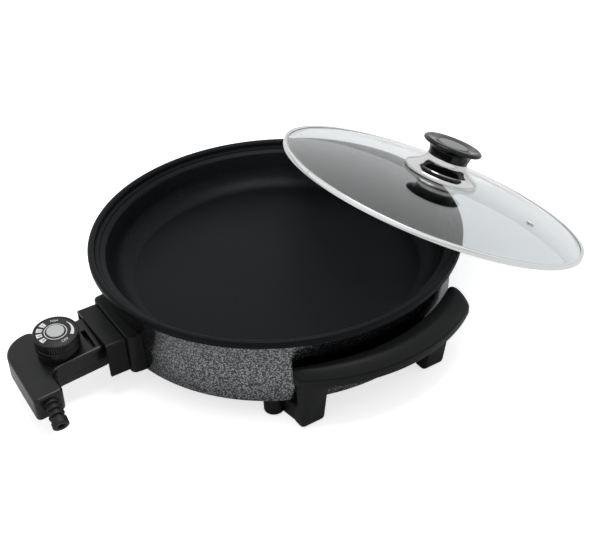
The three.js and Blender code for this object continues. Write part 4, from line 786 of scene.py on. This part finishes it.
upper = shell(SPLIT + 0.15, HALF_HEIGHT, 3)
cut_planes(upper, 0, HOLLOW_X, on_top)
cut_planes(upper, 1, HOLLOW_Y, on_top)
hollow_at = Vector((sum(HOLLOW_X) / 2, sum(HOLLOW_Y) / 2, HALF_HEIGHT))
hollow = min(upper.faces, key=lambda face: (face.calc_center_median() - hollow_at).length)
bmesh.ops.inset_region(upper, faces=[hollow], thickness=0.3)
floor_of_hollow = bmesh.ops.extrude_discrete_faces(upper, faces=[hollow])["faces"][0]
bmesh.ops.translate(upper, verts=floor_of_hollow.verts[:], vec=Vector((0, 0, -HOLLOW_DEPTH)))
lower = shell(SPLIT - 0.15, -HALF_HEIGHT, 3)

# Moulded nylon with a fine spark-eroded texture: black, satin, glancing light makes it grey.
nylon = mottled("probe_moulded_black_nylon", {"Scale": 60, "Detail": 3}, ("#0c0d0d", "#111213"),
                {"Specular IOR Level": 0.3, "IOR": 1.5}, rough=(0.24, 0.32),
                relief={"Strength": 0.3, "Distance": 0.00012}, fine={"Scale": 1800, "Detail": 3})

for name, shape in (("upper", upper), ("lower", lower)):
    half_shell = finished(f"probe_half_{name}", shape, nylon, probe_place @ lean)
    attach(half_shell, "probe")
    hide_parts(f"probe_shell_{name}")
give(nylon, "probe_nose", "cord_clamp")

# ---------------------------------------------------------------- strain relief
# A soft bush with four thick rings, notched at the sides so that it bends, and a bore for the
# cord, which isn't fitted.
root, tip = Vector((44, -287, -2.5)), Vector((79, -289.5, -12.5))
BORE, GROOVE, RING, RING_PITCH, RING_LENGTH, LAST_LENGTH = 3.6, 6.2, 8.5, 6.6, 4.4, 8.2
NOTCH_RADIUS, NOTCH_SHARE = 6.4, 0.34
outside = [(BORE, 0), (9, 0, 0.3, 2), (9, 2, 0.3, 2), (GROOVE, 2)]
for i in range(4):
    start = 5 + RING_PITCH * i
    end = start + (LAST_LENGTH if i == 3 else RING_LENGTH)
    outside += [(GROOVE, start, 0.3, 2), (RING, start + 0.2, 0.8, 3), (RING, end - 0.2, 0.8, 3),
                (GROOVE, end, 0.3, 2)]
outside = outside[:-1] + [(6, end, 0.5, 3), (BORE, end, 0.4, 2)]
bush = turned(outside, 64)
for vert in bush.verts:
    away = vert.co.xy.length
    if NOTCH_RADIUS < away < 8.7 and 4 < vert.co.z < 26.5 and abs(vert.co.y) / away < NOTCH_SHARE:
        set_radius(vert, NOTCH_RADIUS)

# Soft black PVC: matt, with a slight bloom.
soft_pvc = mottled("strain_relief_soft_pvc", {"Scale": 350, "Detail": 4}, ("#0f0f10", "#1a1a1b"),
                   {"Roughness": 0.55, "Specular IOR Level": 0.25})
bush_piece = finished("cord_bush", bush, soft_pvc, probe_place @ Matrix.Translation(root)
                      @ (tip - root).to_track_quat("Z", "Y").to_matrix().to_4x4())
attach(bush_piece, "probe")
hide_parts("strain_relief")
give(soft_pvc, "knob_gasket")

# ---------------------------------------------------------------- dial pedestal
# A tapering phenolic drum that stands on the probe's neck, with a ribbed ring round its top. The
# dial turns on it, on a shaft that comes up through its middle.
DIAL_X, DIAL_OUT, SHAFT_BORE = -2.5, 256, 3.3
SEAT, SEAT_RIBS, SEAT_RIB_DEPTH = 22, 72, 0.22
dial_place = probe_place @ Matrix.Translation((DIAL_X, -DIAL_OUT, 0))
pedestal = turned([(SHAFT_BORE, 9), (20.6, 9), (20.9, 12.2), (21.2, 15.6), (22, 15.9, 0.4, 2),
                   (22.6, 16.4, 0.4, 2), (22.6, SEAT - 0.6, 0.5, 3), (22, SEAT, 0.3, 2),
                   (SHAFT_BORE, SEAT)], 4 * SEAT_RIBS)


def rib(bm, count, depth, inner, foot, top):
    """Cuts shallow grooves between ribs, outside a radius and between two heights."""
    for vert in bm.verts:
        away = vert.co.xy.length
        if away > inner and foot < vert.co.z < top:
            set_radius(vert, away + depth * (cos(count * atan2(vert.co.y, vert.co.x)) - 1))


rib(pedestal, SEAT_RIBS, SEAT_RIB_DEPTH, 22.1, 16.2, SEAT - 0.2)

# Dial phenolic: black with a soft gloss, darker than the probe's body.
dial_black = mottled("dial_moulded_black_phenolic", {"Scale": 400, "Detail": 3},
                     ("#0e0e0f", "#151516"), {"Roughness": 0.36, "Specular IOR Level": 0.3},
                     relief={"Strength": 0.2, "Distance": 0.0001})
pedestal_piece = finished("dial_drum", pedestal, dial_black, dial_place)
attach(pedestal_piece, "probe")
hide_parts("dial_pedestal")

# ---------------------------------------------------------------- dial
# The knob is one phenolic moulding, pushed on the shaft: a skirt with fine grip ribs under a thin,
# slightly wider disc. A round plate, let into the disc, carries the print.
DIAL_FOOT, DIAL_HEIGHT, DISC, SKIRT, DISC_WELL = 22.3, 11.3, 22.8, 22.3, 20.8
DIAL_RIBS, DIAL_RIB_DEPTH = 61, 0.3
DIAL_TOP = DIAL_FOOT + DIAL_HEIGHT
disc_floor = DIAL_TOP - 1.1
dial_knob = turned([
    (SHAFT_BORE, DIAL_FOOT), (SKIRT, DIAL_FOOT, 0.3, 2), (SKIRT, DIAL_TOP - 2.6),
    (DISC - 0.2, DIAL_TOP - 2.3, 0.2, 2), (DISC, DIAL_TOP - 0.6, 0.4, 3),
    (DISC - 0.8, DIAL_TOP, 0.4, 3), (DISC_WELL, DIAL_TOP, 0.2, 2), (DISC_WELL, disc_floor),
    (SHAFT_BORE, disc_floor),
], 8 * DIAL_RIBS)
rib(dial_knob, DIAL_RIBS, DIAL_RIB_DEPTH, 21.8, 0, DIAL_TOP - 2.5)
dial_piece = finished("dial_ribbed_knob", dial_knob, dial_black, dial_place)
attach(dial_piece, "dial")
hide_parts("dial_knob")

print_level = disc_floor + 0.9
plate = turned([(0, disc_floor + FIT), (DISC_WELL - FIT, disc_floor + FIT),
                (DISC_WELL - FIT, print_level, 0.2, 2), (0, print_level)], 96)
plate_piece = finished("dial_plate", plate, dial_black, dial_place)
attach(plate_piece, "dial")
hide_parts("dial_scale_disc")

# ---------------------------------------------------------------- dial print
# Pale ink, screen printed on the plate: rings round the middle, OFF, MIN, four numbered blocks
# and an arrow that thickens towards more heat.
ink = mottled("dial_pale_grey_ink", {"Scale": 2200, "Detail": 3}, ("#cfd0d0", "#e2e3e3"),
              {"Roughness": 0.5})
PRINT = 0.06


def add_letters(bm, text, size, radius, angle, level):
    """Adds flat letters to a mesh, their tops towards the middle of the dial."""
    font = bpy.data.curves.new("lettering", "FONT")
    font.body, font.size, font.align_x, font.align_y = text, size, "CENTER", "CENTER"
    font.extrude = 0.04
    holder = bpy.data.objects.new("lettering", font)
    scene.collection.objects.link(holder)
    bpy.context.view_layer.update()
    mesh = bpy.data.meshes.new_from_object(holder)
    bpy.data.objects.remove(holder)
    mesh.transform(Matrix.Translation((radius * cos(angle), radius * sin(angle), level))
                   @ Matrix.Rotation(angle + pi / 2, 4, "Z"))
    bm.from_mesh(mesh)
    bpy.data.meshes.remove(mesh)


def arc_strip(inner, outer, start, end, steps):
    """A strip of print between two radii; each radius may differ at the two ends."""
    bm = bmesh.new()
    first = [bm.verts.new((r, 0, print_level)) for r in (inner[0], outer[0])]
    edge = bm.edges.new(first)
    bmesh.ops.spin(bm, geom=[*first, edge], cent=(0, 0, 0), axis=(0, 0, 1), angle=end - start,
                   steps=steps)
    for vert in bm.verts:
        share = atan2(vert.co.y, vert.co.x) / (end - start)
        away = vert.co.xy.length
        pair = inner if abs(away - inner[0]) < abs(away - outer[0]) else outer
        set_radius(vert, pair[0] + (pair[1] - pair[0]) * share)
    grown = bmesh.ops.extrude_face_region(bm, geom=bm.faces[:])["geom"]
    bmesh.ops.translate(bm, vec=Vector((0, 0, PRINT)),
                        verts=[part for part in grown if isinstance(part, bmesh.types.BMVert)])
    bmesh.ops.recalc_face_normals(bm, faces=bm.faces)
    bmesh.ops.rotate(bm, cent=(0, 0, 0), matrix=Matrix.Rotation(start, 3, "Z"), verts=bm.verts)
    return bm


artwork = bmesh.new()
for text, size, radius, angle in (("OFF", 4.4, 16.4, 12), ("MIN", 4.2, 16.4, 162)):
    add_letters(artwork, text, size, radius, radians(angle), print_level + 0.04)
BLOCKS = [(198, 216), (226, 244), (253, 271), (281, 299)]
for start, end in BLOCKS:
    add_part(artwork, arc_strip((13.4, 13.4), (19.2, 19.2), radians(start), radians(end), 12),
             Matrix())
add_part(artwork, arc_strip((14.8, 16.6), (18.6, 17), radians(47), radians(118), 24), Matrix())
ring = turned([(10.6, print_level), (11.4, print_level), (11.4, print_level + PRINT),
               (10.6, print_level + PRINT)], 96)
add_part(artwork, ring, Matrix())
artwork_piece = finished("dial_printing", artwork, ink, dial_place)
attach(artwork_piece, "dial")

numerals = bmesh.new()
for number, (start, end) in zip("1234", BLOCKS):
    add_letters(numerals, number, 5, 16, radians((start + end) / 2), print_level + 0.1)
numeral_piece = finished("dial_numerals", numerals, dial_black, dial_place)
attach(numeral_piece, "dial")

# Satin aluminium paint on the centre disc, with its fine flake.
silver = mottled("dial_centre_satin_silver_paint", {"Scale": 3000, "Detail": 2},
                 ("#a9abac", "#bcbebe"), {"Roughness": 0.5})
CAP_RADIUS, CAP_SHEET = 8.8, 0.9
cap_disc = turned([(0, print_level + FIT), (CAP_RADIUS, print_level + FIT),
                   (CAP_RADIUS, print_level + FIT + CAP_SHEET, 0.3, 3),
                   (0, print_level + FIT + CAP_SHEET)], 72)
cap_piece = finished("dial_centre", cap_disc, silver, dial_place)
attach(cap_piece, "dial")
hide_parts("dial_centre_cap")

# ---------------------------------------------------------------- studio
# A white card table under a white sky, with one wide soft lamp overhead. The sky is full white where
# the camera, gloss or glass shows it, and dimmer as a light. The table is plain card to the light and
# to gloss, and has a glow added where the camera or the glass shows it, so that it reads as white.
world = bpy.data.worlds.new("studio")
scene.world = world
world.use_nodes = True
world.node_tree.nodes.clear()
path = add_node(world, "ShaderNodeLightPath")
seen = add_node(world, "ShaderNodeMath",
                {0: path.outputs["Is Camera Ray"], 1: path.outputs["Is Glossy Ray"]},
                operation="MAXIMUM")
seen = add_node(world, "ShaderNodeMath",
                {0: seen.outputs[0], 1: path.outputs["Is Transmission Ray"]}, operation="MAXIMUM")
level = add_node(world, "ShaderNodeMix", {0: seen.outputs[0], 2: 0.55, 3: 1.0}, data_type="FLOAT")
sky = add_node(world, "ShaderNodeBackground", {"Color": (1, 1, 1, 1), "Strength": level.outputs[0]})
add_node(world, "ShaderNodeOutputWorld", {"Surface": sky.outputs[0]})

table_top = new_material("table_white_card")
path = add_node(table_top, "ShaderNodeLightPath")
card = add_node(table_top, "ShaderNodeBsdfDiffuse", {"Color": (0.88, 0.88, 0.88, 1)})
seen = add_node(table_top, "ShaderNodeMath",
                {0: path.outputs["Is Camera Ray"], 1: path.outputs["Is Transmission Ray"]},
                operation="MAXIMUM")
glow = add_node(table_top, "ShaderNodeMath", {0: seen.outputs[0], 1: 0.69}, operation="MULTIPLY")
white = add_node(table_top, "ShaderNodeEmission",
                 {"Color": (1, 1, 1, 1), "Strength": glow.outputs[0]})
lit = add_node(table_top, "ShaderNodeAddShader", {0: card.outputs[0], 1: white.outputs[0]})
add_node(table_top, "ShaderNodeOutputMaterial", {"Surface": lit.outputs[0]})
table_top.cycles.emission_sampling = "NONE"
TABLE_HALF, TABLE_LEVEL = 4000, -60
table = bmesh.new()
bmesh.ops.create_grid(table, x_segments=2, y_segments=2, size=TABLE_HALF)
table_piece = finished("table", table, table_top, Matrix.Translation((0, 0, TABLE_LEVEL)))

lamp = bpy.data.lights.new("softbox", "AREA")
lamp.shape, lamp.size, lamp.energy = "SQUARE", 0.8, 12
softbox = bpy.data.objects.new("softbox", lamp)
scene.collection.objects.link(softbox)
softbox.location = (0, 0.05, 1.4)

scene.view_settings.view_transform = "Standard"
